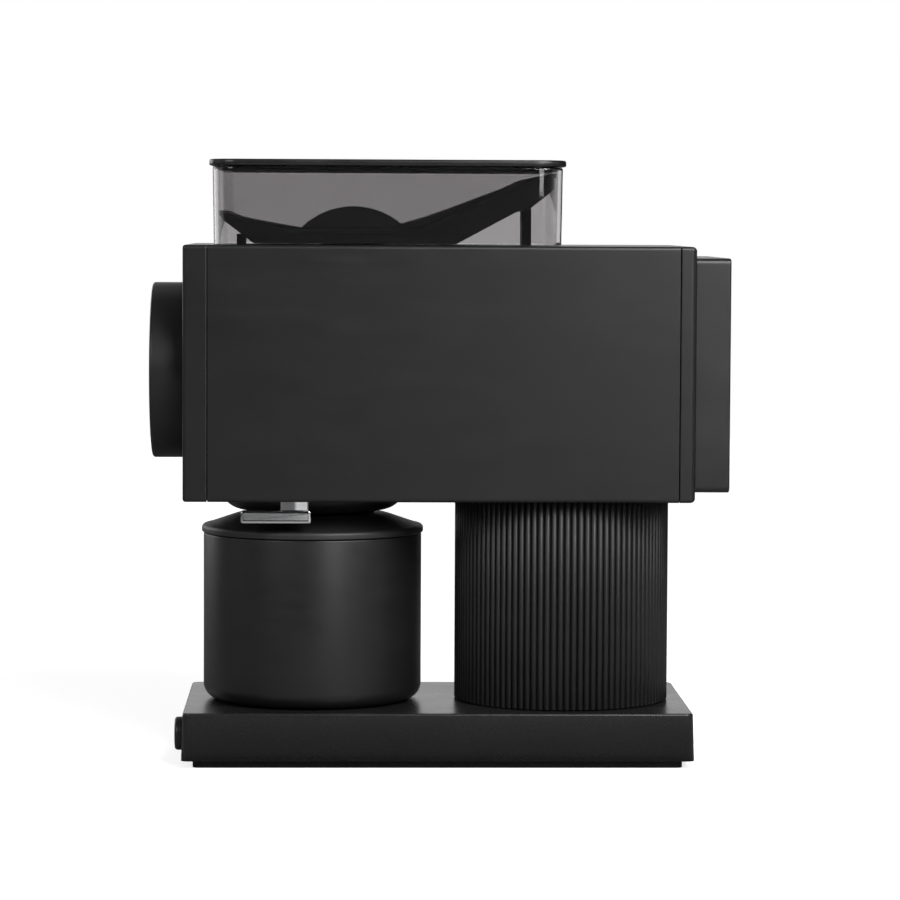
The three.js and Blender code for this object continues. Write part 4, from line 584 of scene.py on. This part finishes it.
def main_housing():
    low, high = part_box("main_housing")
    knocker_low, knocker_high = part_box("knocker")
    bm = block(low, high)
    round_over(bm, edges_along(bm, X), BODY_CORNER, 6)
    delete_faces(bm, faces_at(bm, X, low.x) + faces_at(bm, X, high.x))
    brace(bm, low, high, (Y, Z), BODY_CORNER)
    stem_rear = knocker_high.x - 0.2 * MM
    stem_front = stem_rear - 13.2 * MM
    slot_outer = knocker_low.y + 0.6 * MM
    slot_inner = slot_outer + 8.2 * MM
    slice_at(bm, X, (stem_front, stem_rear))
    slice_at(bm, Y, (slot_outer, slot_inner))
    slot = [face for face in faces_at(bm, Z, low.z)
            if stem_front < face.calc_center_median().x < stem_rear
            and slot_outer < face.calc_center_median().y < slot_inner]
    delete_faces(bm, slot)
    piece = finish_piece(bm, "housing_sleeve", "frame", ["main_housing"], HOUSING_COAT)
    give_wall(piece, 3 * MM)
    soften(piece, 0.12 * MM)


def end_plate(node, name, outer_end, bore, edge):
    """A plate across the whole body, rounded on its outer end, with a round hole for the shaft line."""
    low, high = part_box(node)
    shaft_low, shaft_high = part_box("drive_shaft")
    axis_z = (shaft_low.z + shaft_high.z) / 2
    outer = low.x if outer_end < 0 else high.x
    inner = high.x if outer_end < 0 else low.x
    bm = block(low, high)
    round_over(bm, edges_along(bm, X), BODY_CORNER, 8)
    round_over(bm, edges_at(bm, X, outer), edge, 5)
    round_over(bm, edges_at(bm, X, inner), 0.3 * MM, 2)
    brace(bm, low, high, (Y, Z), BODY_CORNER)
    slice_at(bm, X, (outer - outer_end * (edge + STRIP), inner + outer_end * (0.3 * MM + STRIP)))
    rims = []
    for place in (outer, inner):
        face = max(faces_at(bm, X, place), key=lambda candidate: candidate.calc_area())
        edges = list(face.edges)
        bmesh.ops.delete(bm, geom=[face], context="FACES_ONLY")
        rim = circle(bm, X, (place, 0, axis_z), bore, 96)
        bridge(bm, edges, rim)
        rims += rim
    bmesh.ops.bridge_loops(bm, edges=rims)
    finish_piece(bm, name, "frame", [node], PLATE_COAT)


def motor_cover():
    low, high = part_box("motor_cover")
    corner, edge = 2.2 * MM, 0.8 * MM
    bm = block(low, high)
    round_over(bm, edges_along(bm, X), corner, 10)
    round_over(bm, edges_at(bm, X, high.x), edge, 6)
    delete_faces(bm, faces_at(bm, X, low.x))
    brace(bm, low, high, (Y, Z), corner)
    slice_at(bm, X, (high.x - edge - STRIP,))
    vent_count, pitch, half_width, half_height = 9, 7 * MM, 30 * MM, 1.5 * MM
    middle = (low.z + high.z) / 2
    centres = [middle + (i - (vent_count - 1) / 2) * pitch for i in range(vent_count)]
    slice_at(bm, Y, (-half_width, half_width))
    for centre in centres:
        slice_at(bm, Z, (centre - half_height, centre + half_height))
    vents = [face for face in faces_at(bm, X, high.x)
             if abs(face.calc_center_median().y) < half_width
             and any(abs(face.calc_center_median().z - centre) < half_height / 2 for centre in centres)]
    delete_faces(bm, vents)
    piece = finish_piece(bm, "rear_motor_cover", "frame", ["motor_cover"], COVER_BLACK)
    give_wall(piece, 2.5 * MM)
    soften(piece, 0.5 * MM, 3)


# ---- dial ---------------------------------------------------------------------------------------

def dial():
    low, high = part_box("dial")
    plate_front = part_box("front_plate")[0].x
    axis_z = (low.z + high.z) / 2
    radius = (high.z - low.z) / 2
    back = plate_front - 0.5 * MM
    skirt = radius - 5 * MM
    web = low.x + 8.6 * MM
    hub = 15 * MM
    bore = 3.3 * MM
    edge = 1.2 * MM
    dish = low.x + 1.4 * MM
    recess = low.x + 4.4 * MM
    profile = [(recess, bore), (recess, 9 * MM), (dish + 0.3 * MM, 9 * MM), (dish, 9.4 * MM)]
    profile += [(dish, radius - 9 * MM)]
    profile += arc(dish - 1.0 * MM, radius - 9 * MM, 1.0 * MM, 0, 60, 4)
    profile += [(low.x + 0.15 * MM, radius - 7.4 * MM), (low.x, radius - 7.0 * MM)]
    profile += arc(low.x + edge, radius - edge, edge, 180, 90, 8)
    profile += arc(back - 0.5 * MM, radius - 0.5 * MM, 0.5 * MM, 90, 0, 4)
    profile += [(back, skirt), (web, skirt), (web, hub), (high.x, hub), (high.x, bore)]
    bm = turned(profile, X, (0, 0, axis_z), 160)
    finish_piece(bm, "dial_knob", "dial", ["dial"], DIAL_COAT, smooth=28)

    cap = [(dish - 0.2 * MM, 0), (dish - 0.2 * MM, 8.2 * MM)]
    cap += arc(dish + 0.3 * MM, 8.2 * MM, 0.5 * MM, 180, 90, 4)
    cap += [(dish + 0.9 * MM, 8.7 * MM), (dish + 0.9 * MM, 0)]
    finish_piece(turned(cap, X, (0, 0, axis_z), 96), "dial_centre_cap", "dial", [],
                 SATIN_BLACK)
    dial_marks(low.x, axis_z, radius)


def dial_marks(front, axis_z, radius):
    """Even marks round the dial's flat rim, each tenth one longer, and a fixed dot on the plate above."""
    bm = bmesh.new()
    count, span = 31, math.radians(300)
    for i in range(count):
        angle = span * (i / (count - 1) - 0.5)
        long_mark = i % 10 == 0 or i == count // 2
        length = 4.2 * MM if long_mark else 2.4 * MM
        half = 0.32 * MM if long_mark else 0.2 * MM
        outer = radius - 1.7 * MM
        verts = add_block(bm, (front + 0.012 * MM, -half, outer - length), (front + 0.3 * MM, half, outer))
        turn = Matrix.Translation((0, 0, axis_z)) @ Matrix.Rotation(angle, 4, "X")
        bmesh.ops.transform(bm, matrix=turn, verts=verts)
    finish_piece(bm, "dial_scale_marks", "dial", [], MARKING)
    plate_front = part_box("front_plate")[0].x
    dot_z = axis_z + radius + 4 * MM
    dot = [(plate_front - 0.05 * MM, 0), (plate_front - 0.05 * MM, 1.0 * MM),
           (plate_front + 0.4 * MM, 1.1 * MM), (plate_front + 0.4 * MM, 0)]
    finish_piece(turned(dot, X, (0, 0, dot_z), 32), "index_dot", "frame", [], MARKING)


# ---- chute and knocker --------------------------------------------------------------------------

def chute_skirt():
    low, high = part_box("chute_skirt")
    centre = (low + high) / 2
    radius = (high.x - low.x) / 2
    lip = 24.5 * MM
    mouth = 16.6 * MM
    drop = high.z - low.z
    profile = [(high.z, radius)]
    steps = 12
    for i in range(steps + 1):
        share = i / steps
        angle = math.pi / 2 * share
        along = high.z - drop * math.sin(angle) ** 1.3
        reach = lip + (radius - 0.6 * MM - lip) * math.cos(angle) ** 0.62
        profile.append((along, reach))
    profile += [(low.z, mouth + 0.5 * MM), (low.z + 0.5 * MM, mouth), (low.z + 1.6 * MM, mouth)]
    profile += [(low.z + 2.4 * MM, lip), (high.z, radius - 8 * MM)]
    finish_piece(turned(profile, Z, centre, 128), "chute_collar", "frame", ["chute_skirt"],
                 SATIN_BLACK)


def knocker():
    low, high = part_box("knocker")
    pin_low, pin_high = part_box("knocker_pin")
    pivot = (pin_low + pin_high) / 2
    tab_top = low.z + 5.3 * MM
    tab_back = low.y + 4 * MM
    bm = block((low.x, low.y, low.z), (high.x, tab_back, tab_top))
    round_over(bm, edges_along(bm, Y), 1.1 * MM, 5)
    round_over(bm, edges_at(bm, Y, low.y) + edges_at(bm, Y, tab_back), 0.5 * MM, 4)
    # A sunk panel fills the front face inside a narrow raised border.
    panel = max(faces_at(bm, Y, low.y), key=lambda face: face.calc_area())
    for width, depth in ((0.5 * MM, 0.0), (0.35 * MM, -0.35 * MM)):
        bmesh.ops.inset_region(bm, faces=[panel], thickness=width, depth=depth)
    stem_rear = high.x - 0.9 * MM
    stem_front = stem_rear - 11.6 * MM
    stem_outer = low.y + 2 * MM
    stem_inner = stem_outer + 3.5 * MM
    stem = bmesh.new()
    add_block(stem, (stem_front, stem_outer, tab_top - 1 * MM), (stem_rear, stem_inner, high.z - 1.6 * MM))
    round_over(stem, edges_along(stem, Z), 0.8 * MM, 4)
    arm = bmesh.new()
    arm_front = stem_front + 1 * MM
    arm_rear = arm_front + 8 * MM
    half = 2 * MM
    add_block(arm, (arm_front, stem_outer + 1 * MM, pivot.z - half), (arm_rear, high.y, pivot.z + half))
    round_over(arm, edges_along(arm, Y), 0.6 * MM, 3)
    for extra in (stem, arm):
        mesh = bpy.data.meshes.new("join")
        extra.to_mesh(mesh)
        extra.free()
        bm.from_mesh(mesh)
        bpy.data.meshes.remove(mesh)
    boss = [(arm_front, 1.8 * MM), (arm_front, 3.6 * MM), (arm_rear, 3.6 * MM), (arm_rear, 1.8 * MM)]
    add_turned(bm, boss, X, (0, pivot.y, pivot.z), 48)
    finish_piece(bm, "chrome_knocker", "knocker", ["knocker"], CHROME)


# ---- hopper -------------------------------------------------------------------------------------

LOOP_POINTS = 320
HOPPER_CORNER = 10.8 * MM
HOPPER_WALL = 1.8 * MM
FRONT_LEG, REAR_LEG, LEG_WALL, LEG_HALF = 9 * MM, 128.7 * MM, 3.9 * MM, 8 * MM  # the legs under the tray


def hopper_loop(inset, height, grow=0.0):
    low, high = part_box("hopper_shell")
    centre = (low + high) / 2
    half = (high - low) / 2
    rise = height if callable(height) else (lambda x: height)
    points = rounded_rectangle(half.x - inset + grow, half.y - inset + grow,
                               max(HOPPER_CORNER - inset + grow, 1 * MM), centre)
    return even_spread(points, LOOP_POINTS, rise)


def funnel_line(x):
    """The height of the funnel's rim at a place along the hopper: front slope, flat, rear ramp, end."""
    low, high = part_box("hopper_shell")
    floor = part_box("main_housing")[1].z + 7 * MM
    flat_front = low.x + 29.8 * MM
    flat_rear = flat_front + 55.3 * MM
    ramp_end = flat_rear + 45 * MM
    knots = [(low.x, floor + 7.6 * MM), (flat_front, floor), (flat_rear, floor),
             (ramp_end, floor + 21 * MM), (high.x, floor + 23.2 * MM)]
    total, weight = 0.0, 0.0
    blur, samples = 3.5 * MM, 9
    for i in range(samples):
        place = x + blur * (2 * i / (samples - 1) - 1)
        share = 1 - abs(2 * i / (samples - 1) - 1) * 0.9
        total += share * broken_line(knots, place)
        weight += share
    return total / weight


def broken_line(knots, x):
    if x <= knots[0][0]:
        (x0, z0), (x1, z1) = knots[0], knots[1]
    elif x >= knots[-1][0]:
        (x0, z0), (x1, z1) = knots[-2], knots[-1]
    else:
        (x0, z0), (x1, z1) = next(pair for pair in zip(knots, knots[1:]) if x <= pair[1][0])
    return z0 + (z1 - z0) * (x - x0) / (x1 - x0)


def hopper_shell():
    low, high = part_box("hopper_shell")
    draft = -0.5 * MM
    rim = 0.6 * MM
    loops = [
        hopper_loop(0, low.z, draft),
        hopper_loop(0, high.z - 2 * rim),
        hopper_loop(0, high.z - rim),
        hopper_loop(0.18 * MM, high.z - 0.18 * MM),
        hopper_loop(rim, high.z),
        hopper_loop(HOPPER_WALL - 0.5 * MM, high.z),
        hopper_loop(HOPPER_WALL - 0.1 * MM, high.z - 0.2 * MM),
        hopper_loop(HOPPER_WALL, high.z - rim),
        hopper_loop(HOPPER_WALL, high.z - 2 * rim),
        hopper_loop(HOPPER_WALL, low.z, draft),
    ]
    bm = bmesh.new()
    loft(bm, loops)
    finish_piece(bm, "smoked_hopper_wall", "frame", ["hopper_shell"], SMOKE_OUTER,
                 smooth=40)


def bean_bin():
    gap = 0.3 * MM
    inset = HOPPER_WALL + gap + 0.5 * MM
    wall = 1.4 * MM
    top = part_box("bean_bin")[1].z

    def edge(x):
        return min(funnel_line(x) + gap, top - 0.3 * MM)

    bm = bmesh.new()
    loft(bm, [hopper_loop(inset, edge), hopper_loop(inset, top), hopper_loop(inset + wall, top),
              hopper_loop(inset + wall, edge)])
    finish_piece(bm, "smoked_bin_wall", "frame", ["bean_bin"], SMOKE_INNER, smooth=40)


def ellipse_loop(centre, half_x, half_y, height):
    points = []
    for i in range(LOOP_POINTS):
        angle = 2 * math.pi * i / LOOP_POINTS
        points.append(Vector((centre.x + half_x * math.cos(angle),
                              centre.y + half_y * math.sin(angle), height)))
    return points


def bean_funnel():
    throat_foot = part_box("bean_funnel")[0].z
    shell_low, shell_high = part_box("hopper_shell")
    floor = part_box("main_housing")[1].z
    throat = Vector((sum(corner.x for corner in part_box("finger_guard")) / 2, 0))
    bore, spout = 11 * MM, 13.5 * MM
    inset = HOPPER_WALL + 0.8 * MM
    lip = 1.7 * MM
    under_floor = floor + 0.6 * MM
    ramp_end = shell_low.x + 130.1 * MM
    flat_rear = shell_low.x + 85.1 * MM

    def side_bottom(x):
        knots = [(shell_low.x, floor + 13.8 * MM), (shell_low.x + 17 * MM, under_floor),
                 (flat_rear + 15 * MM, under_floor), (ramp_end - 4 * MM, floor + 14.6 * MM),
                 (ramp_end, floor + 15 * MM), (shell_high.x, floor + 26.5 * MM)]
        return min(broken_line(knots, x), funnel_line(x) - lip - 0.6 * MM)

    bm = bmesh.new()
    loft(bm, [
        hopper_loop(inset, lambda x: funnel_line(x) - lip),
        hopper_loop(inset, lambda x: funnel_line(x) - 0.3 * MM),
        hopper_loop(inset + 0.3 * MM, funnel_line),
        hopper_loop(inset + 3 * MM, funnel_line),
        hopper_loop(inset + 3.6 * MM, lambda x: funnel_line(x) - 0.5 * MM),
        ellipse_loop(throat, 23.8 * MM, 37 * MM, floor + 6.6 * MM),
        ellipse_loop(throat, bore, bore, floor + 0.4 * MM),
        ellipse_loop(throat, bore, bore, throat_foot),
        ellipse_loop(throat, spout, spout, throat_foot),
        ellipse_loop(throat, spout, spout, under_floor - 0.2 * MM),
        ellipse_loop(throat, 21 * MM, 30 * MM, under_floor),
        hopper_loop(inset + 3.2 * MM, side_bottom),
        hopper_loop(inset + 0.9 * MM, side_bottom),
        hopper_loop(inset + 0.9 * MM, lambda x: funnel_line(x) - lip - 0.1 * MM),
    ])
    # Two short legs under the tray hold it off the housing.
    for leg_x in (shell_low.x + FRONT_LEG, shell_low.x + REAR_LEG):
        top = min(side_bottom(leg_x), side_bottom(leg_x + LEG_WALL)) + 0.5 * MM
        add_block(bm, (leg_x, -LEG_HALF, floor + 0.1 * MM), (leg_x + LEG_WALL, LEG_HALF, top))
    finish_piece(bm, "funnel_tray", "frame", ["bean_funnel"], FUNNEL_BLACK, smooth=45)


def finger_guard():
    low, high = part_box("finger_guard")
    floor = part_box("main_housing")[1].z + 7 * MM
    rise = high.z - floor
    half = (high.x - low.x) / 2
    centre_x = (low.x + high.x) / 2
    radius = (half ** 2 + rise ** 2) / (2 * rise)
    sweep = math.asin(half / radius)
    steps = 40
    bm = bmesh.new()
    verts = []
    for i in range(steps + 1):
        angle = math.pi / 2 + sweep * (2 * i / steps - 1)
        verts.append(bm.verts.new((centre_x + radius * math.cos(angle), low.y,
                                   high.z - radius + radius * math.sin(angle))))
    foot = half - 7.6 * MM
    verts += [bm.verts.new((centre_x - foot, low.y, low.z)), bm.verts.new((centre_x + foot, low.y, low.z))]
    face = bm.faces.new(verts)
    made = bmesh.ops.extrude_face_region(bm, geom=[face])
    moved = [item for item in made["geom"] if isinstance(item, bmesh.types.BMVert)]
    bmesh.ops.translate(bm, vec=(0, high.y - low.y, 0), verts=moved)
    piece = finish_piece(bm, "throat_guard", "frame", ["finger_guard"], SATIN_BLACK)
    soften(piece, 0.6 * MM, 3)


def hopper_lid():
    low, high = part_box("hopper_lid")
    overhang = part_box("hopper_shell")[0].x - low.x
    bottom = high.z - 2.6 * MM
    top_edge, bottom_edge = 0.9 * MM, 0.5 * MM
    plug = HOPPER_WALL + 1.5 * MM

    def plate_loop(inset, height):
        return hopper_loop(inset, height, overhang)

    loops = [plate_loop(0, bottom + bottom_edge)]
    for i in range(1, 6):
        angle = math.pi / 2 * i / 5
        loops.append(plate_loop(top_edge * (1 - math.cos(angle)),
                                high.z - top_edge * (1 - math.sin(angle))))
    loops.append(plate_loop(30 * MM, high.z))
    under = [plate_loop(0, bottom + bottom_edge), plate_loop(0.15 * MM, bottom + 0.15 * MM),
             plate_loop(bottom_edge, bottom), hopper_loop(plug, bottom), hopper_loop(plug, low.z),
             hopper_loop(plug + 3 * MM, low.z), hopper_loop(plug + 3 * MM, bottom + 0.2 * MM)]
    bm = bmesh.new()
    for ring in loft(bm, list(reversed(under[1:])) + loops, closed=False):
        bmesh.ops.edgeloop_fill(bm, edges=ring_edges(ring))
    finish_piece(bm, "hopper_cover", "hopper_lid", ["hopper_lid"], LID_BLACK, smooth=30)


def lid_gasket():
    low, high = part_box("lid_gasket")
    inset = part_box("lid_gasket")[0].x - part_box("hopper_shell")[0].x
    fin = 0.35 * MM
    height = high.z - low.z
    loops = []
    for share, pull in ((0.0, fin), (0.08, fin), (0.2, 0.0), (0.34, fin), (0.5, fin), (0.62, 0.0),
                        (0.78, fin), (1.0, fin)):
        loops.append(hopper_loop(inset + pull, low.z + share * height))
    loops += [hopper_loop(inset + 1.2 * MM, high.z), hopper_loop(inset + 1.2 * MM, low.z)]
    bm = bmesh.new()
    loft(bm, loops)
    finish_piece(bm, "lid_seal", "hopper_lid", ["lid_gasket"], RUBBER, smooth=40)


# ---- catch cup ----------------------------------------------------------------------------------

def cup_body():
    low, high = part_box("cup_body")
    magnet_low, magnet_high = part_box("cup_magnet")
    centre = (low + high) / 2
    radius = (high.x - low.x) / 2
    fillet, wall = 6.5 * MM, 2.5 * MM
    inner = radius - wall
    floor = low.z + 5.2 * MM
    inner_fillet = fillet - wall
    pocket = (magnet_high.y - magnet_low.y) / 2 + 0.3 * MM
    pocket_top = magnet_high.z + 0.3 * MM
    # Past the standing ring the underside rises a little, so that the cup stands on a ring.
    ring = radius - fillet
    profile = [(pocket_top, 0), (pocket_top, pocket), (low.z + 0.5 * MM, pocket),
               (low.z + 0.5 * MM, ring - 5 * MM), (low.z, ring - 4 * MM), (low.z, ring)]
    profile += arc(low.z + fillet, ring, fillet, 180, 90, 14)[1:]
    profile += arc(high.z - 0.6 * MM, radius - 0.6 * MM, 0.6 * MM, 90, 0, 4)
    profile += [(high.z, inner + 0.3 * MM), (high.z - 0.3 * MM, inner)]
    profile += arc(floor + inner_fillet, inner - inner_fillet, inner_fillet, 90, 180, 10)
    profile += [(floor, 0)]
    finish_piece(turned(profile, Z, centre, 144), "catch_cup_body", "catch_cup", ["cup_body"],
                 CUP_COAT)


def cup_lid():
    low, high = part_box("cup_lid")
    centre = (low + high) / 2
    lip = (high.x - low.x) / 2
    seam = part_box("cup_body")[1].z + 0.3 * MM
    plug = lip - 3.2 * MM
    mouth = 26 * MM
    slope_top, slope_foot = (high.z - 1.0 * MM, mouth + 7.3 * MM), (high.z - 5.15 * MM, lip - 1.35 * MM)
    thickness = 1.8 * MM
    profile = [(seam, plug), (seam, lip - 0.3 * MM), (seam + 0.3 * MM, lip)]
    profile += arc(slope_foot[0] - 1.3 * MM, lip - 1.5 * MM, 1.5 * MM, 90, 25, 7)
    profile += [slope_foot, slope_top]
    profile += [(high.z - 0.6 * MM, mouth + 5.9 * MM), (high.z - 0.25 * MM, mouth + 3.2 * MM)]
    profile += arc(high.z - 0.4 * MM, mouth + 0.4 * MM, 0.4 * MM, 80, -80, 6)
    profile += [(high.z - 1.2 * MM, mouth + 0.2 * MM), (slope_top[0] - thickness, slope_top[1] - 1 * MM)]
    profile += [(slope_foot[0] - thickness, plug - 2 * MM), (low.z, plug - 2 * MM), (low.z, plug)]
    finish_piece(turned(profile, Z, centre, 144), "catch_cup_lid", "catch_cup", ["cup_lid"], CUP_LID_BLACK,
                 smooth=30)


# ---- pieces kept from the frame -----------------------------------------------------------------

BY_SLOT = {
    "steel": STEEL, "aluminium": CAST_ALUMINIUM, "copper": COPPER, "board_green": BOARD,
    "black_plastic": SATIN_BLACK, "black_rubber": RUBBER, "chrome": CHROME, "black_coat": HOUSING_COAT,
    "smoked_plastic": SMOKE_OUTER,
}


def dress_kept_nodes():
    for row in frame["record"]["subparts"]:
        node = frame["nodes"][row["node"]]
        material = BY_SLOT[row["material_slot"]]
        if node.data.materials:
            for index in range(len(node.data.materials)):
                node.data.materials[index] = material
        else:
            node.data.materials.append(material)


# ---- studio -------------------------------------------------------------------------------------

FLOOR_REACH = 2.2
FLOOR_GLOW = 0.72
FLOOR_SEEN, FLOOR_LIGHTING = (0.92, 0.92, 0.92), (0.3, 0.3, 0.3)


def studio_floor():
    bm = bmesh.new()
    bmesh.ops.create_grid(bm, x_segments=1, y_segments=1, size=FLOOR_REACH)
    mesh = bpy.data.meshes.new("studio_floor")
    bm.to_mesh(mesh)
    bm.free()
    # To the eye the floor is a lit table, and only a weak reflector of light up at the object.
    material, nodes, links, shader = new_material("pale_floor")
    path = nodes.new("ShaderNodeLightPath")
    links.new(blend_colours(nodes, links, path.outputs["Is Camera Ray"], FLOOR_LIGHTING, FLOOR_SEEN),
              shader.inputs["Base Color"])
    shader.inputs["Roughness"].default_value = 0.9
    shader.inputs["Specular IOR Level"].default_value = 0.0
    shader.inputs["Emission Color"].default_value = (1, 1, 1, 1)
    glow = remap(nodes, links, path.outputs["Is Camera Ray"], 0, FLOOR_GLOW, 0, 1)
    links.new(glow, shader.inputs["Emission Strength"])
    mesh.materials.append(material)
    floor = bpy.data.objects.new("studio_floor", mesh)
    bpy.context.scene.collection.objects.link(floor)


def area_light(name, place, target, size, power):
    data = bpy.data.lights.new(name, "AREA")
    data.shape = "RECTANGLE"
    data.size, data.size_y = size
    data.energy = power
    light = bpy.data.objects.new(name, data)
    bpy.context.scene.collection.objects.link(light)
    place, target = Vector(place), Vector(target)
    light.location = place
    light.rotation_euler = (target - place).to_track_quat("-Z", "Y").to_euler()
    light.visible_camera = False
    light.visible_transmission = False


# Each softbox: its bearing from the button's side (right is positive) and its height, both in degrees
# from the object's middle, its distance in metres, its width and height, and its power in watts.
SOFTBOXES = {
    "overhead": (0, 89, 1.9, (2.4, 2.4), 2.9),
    "key_low": (20, 12, 1.1, (0.3, 0.3), 1.9),
    "key_middle": (15, 30, 1.1, (0.3, 0.3), 2.0),
    "key_high": (30, 40, 1.0, (0.4, 0.4), 6.1),
    "key_side": (45, 25, 1.0, (0.4, 0.4), 2.2),
    "fill_front": (-40, 25, 2.0, (0.7, 0.7), 8.2),
    "left": (-85, 15, 2.0, (1.0, 1.0), 2.0),
    "right": (80, 15, 2.0, (1.0, 1.0), 1.6),
    "rear_left": (-135, 12, 2.2, (1.0, 1.0), 7.5),
    "rear": (180, 12, 2.4, (2.0, 1.0), 6.2),
    "rear_high": (180, 45, 2.2, (2.0, 1.0), 2.3),
}


def studio_world():
    """White to the eye; through the smoked walls white behind the object and dim in front of it."""
    world = bpy.data.worlds.new("studio")
    bpy.context.scene.world = world
    world.use_nodes = True
    nodes, links = world.node_tree.nodes, world.node_tree.links
    path = nodes.new("ShaderNodeLightPath")
    place = nodes.new("ShaderNodeTexCoord")
    split = nodes.new("ShaderNodeSeparateXYZ")
    links.new(place.outputs["Generated"], split.inputs["Vector"])
    backdrop = remap(nodes, links, split.outputs["Y"], 0.3, 1, -0.1, 0.1)
    through = nodes.new("ShaderNodeMath")
    through.operation = "MULTIPLY"
    links.new(path.outputs["Is Transmission Ray"], through.inputs[0])
    links.new(backdrop, through.inputs[1])
    seen = nodes.new("ShaderNodeMath")
    seen.operation = "MAXIMUM"
    links.new(path.outputs["Is Camera Ray"], seen.inputs[0])
    links.new(through.outputs[0], seen.inputs[1])
    links.new(seen.outputs[0], nodes["Background"].inputs["Strength"])
    nodes["Background"].inputs["Color"].default_value = (1, 1, 1, 1)


def studio_lights():
    middle = Vector((0, 0, 0.14))
    for name, (bearing, height, distance, size, power) in SOFTBOXES.items():
        turn, lift = math.radians(bearing), math.radians(height)
        way = Vector((math.sin(turn) * math.cos(lift), -math.cos(turn) * math.cos(lift), math.sin(lift)))
        area_light(name + "_softbox", middle + way * distance, middle, size, power)
    # A white card on the table, which the knocker's polished face mirrors.
    card = Vector((0.19, -1.38, 0.004))
    area_light("table_card", card, card + Vector((0, 0, 1)), (0.5, 0.7), 0.8)


def camera():
    """Stands on the button's side, a little above the body's top, and looks slightly down."""
    place = Vector((-40.55, -1533.16, 225.90)) * MM
    yaw, pitch, roll = (math.radians(angle) for angle in (1.7325, 3.640, 0.268))
    forward = Vector((math.sin(yaw) * math.cos(pitch), math.cos(yaw) * math.cos(pitch), -math.sin(pitch)))
    level = Vector((math.cos(yaw), -math.sin(yaw), 0))
    upright = level.cross(forward)
    right = level * math.cos(roll) + upright * math.sin(roll)
    up = upright * math.cos(roll) - level * math.sin(roll)
    data = bpy.data.cameras.new("camera")
    data.sensor_width = 36
    data.lens = 145.24
    data.clip_start, data.clip_end = 0.05, 30
    view = bpy.data.objects.new("camera", data)
    rotation = Matrix((right, up, -forward)).transposed().to_4x4()
    view.matrix_world = Matrix.Translation(place) @ rotation
    bpy.context.scene.collection.objects.link(view)
    bpy.context.scene.camera = view


dress_kept_nodes()
base_shell()
foot_pad()
start_button()
column_sleeve()
main_housing()
end_plate("front_plate", "front_end_plate", -1, 15.3 * MM, 1.2 * MM)
end_plate("rear_plate", "rear_end_plate", 1, 34 * MM, 2.0 * MM)
motor_cover()
dial()
chute_skirt()
knocker()
hopper_shell()
bean_bin()
bean_funnel()
finger_guard()
hopper_lid()
lid_gasket()
cup_body()
cup_lid()
studio_floor()
studio_world()
studio_lights()
camera()

scene = bpy.context.scene
scene.view_settings.view_transform = "Standard"
scene.view_settings.look = "None"
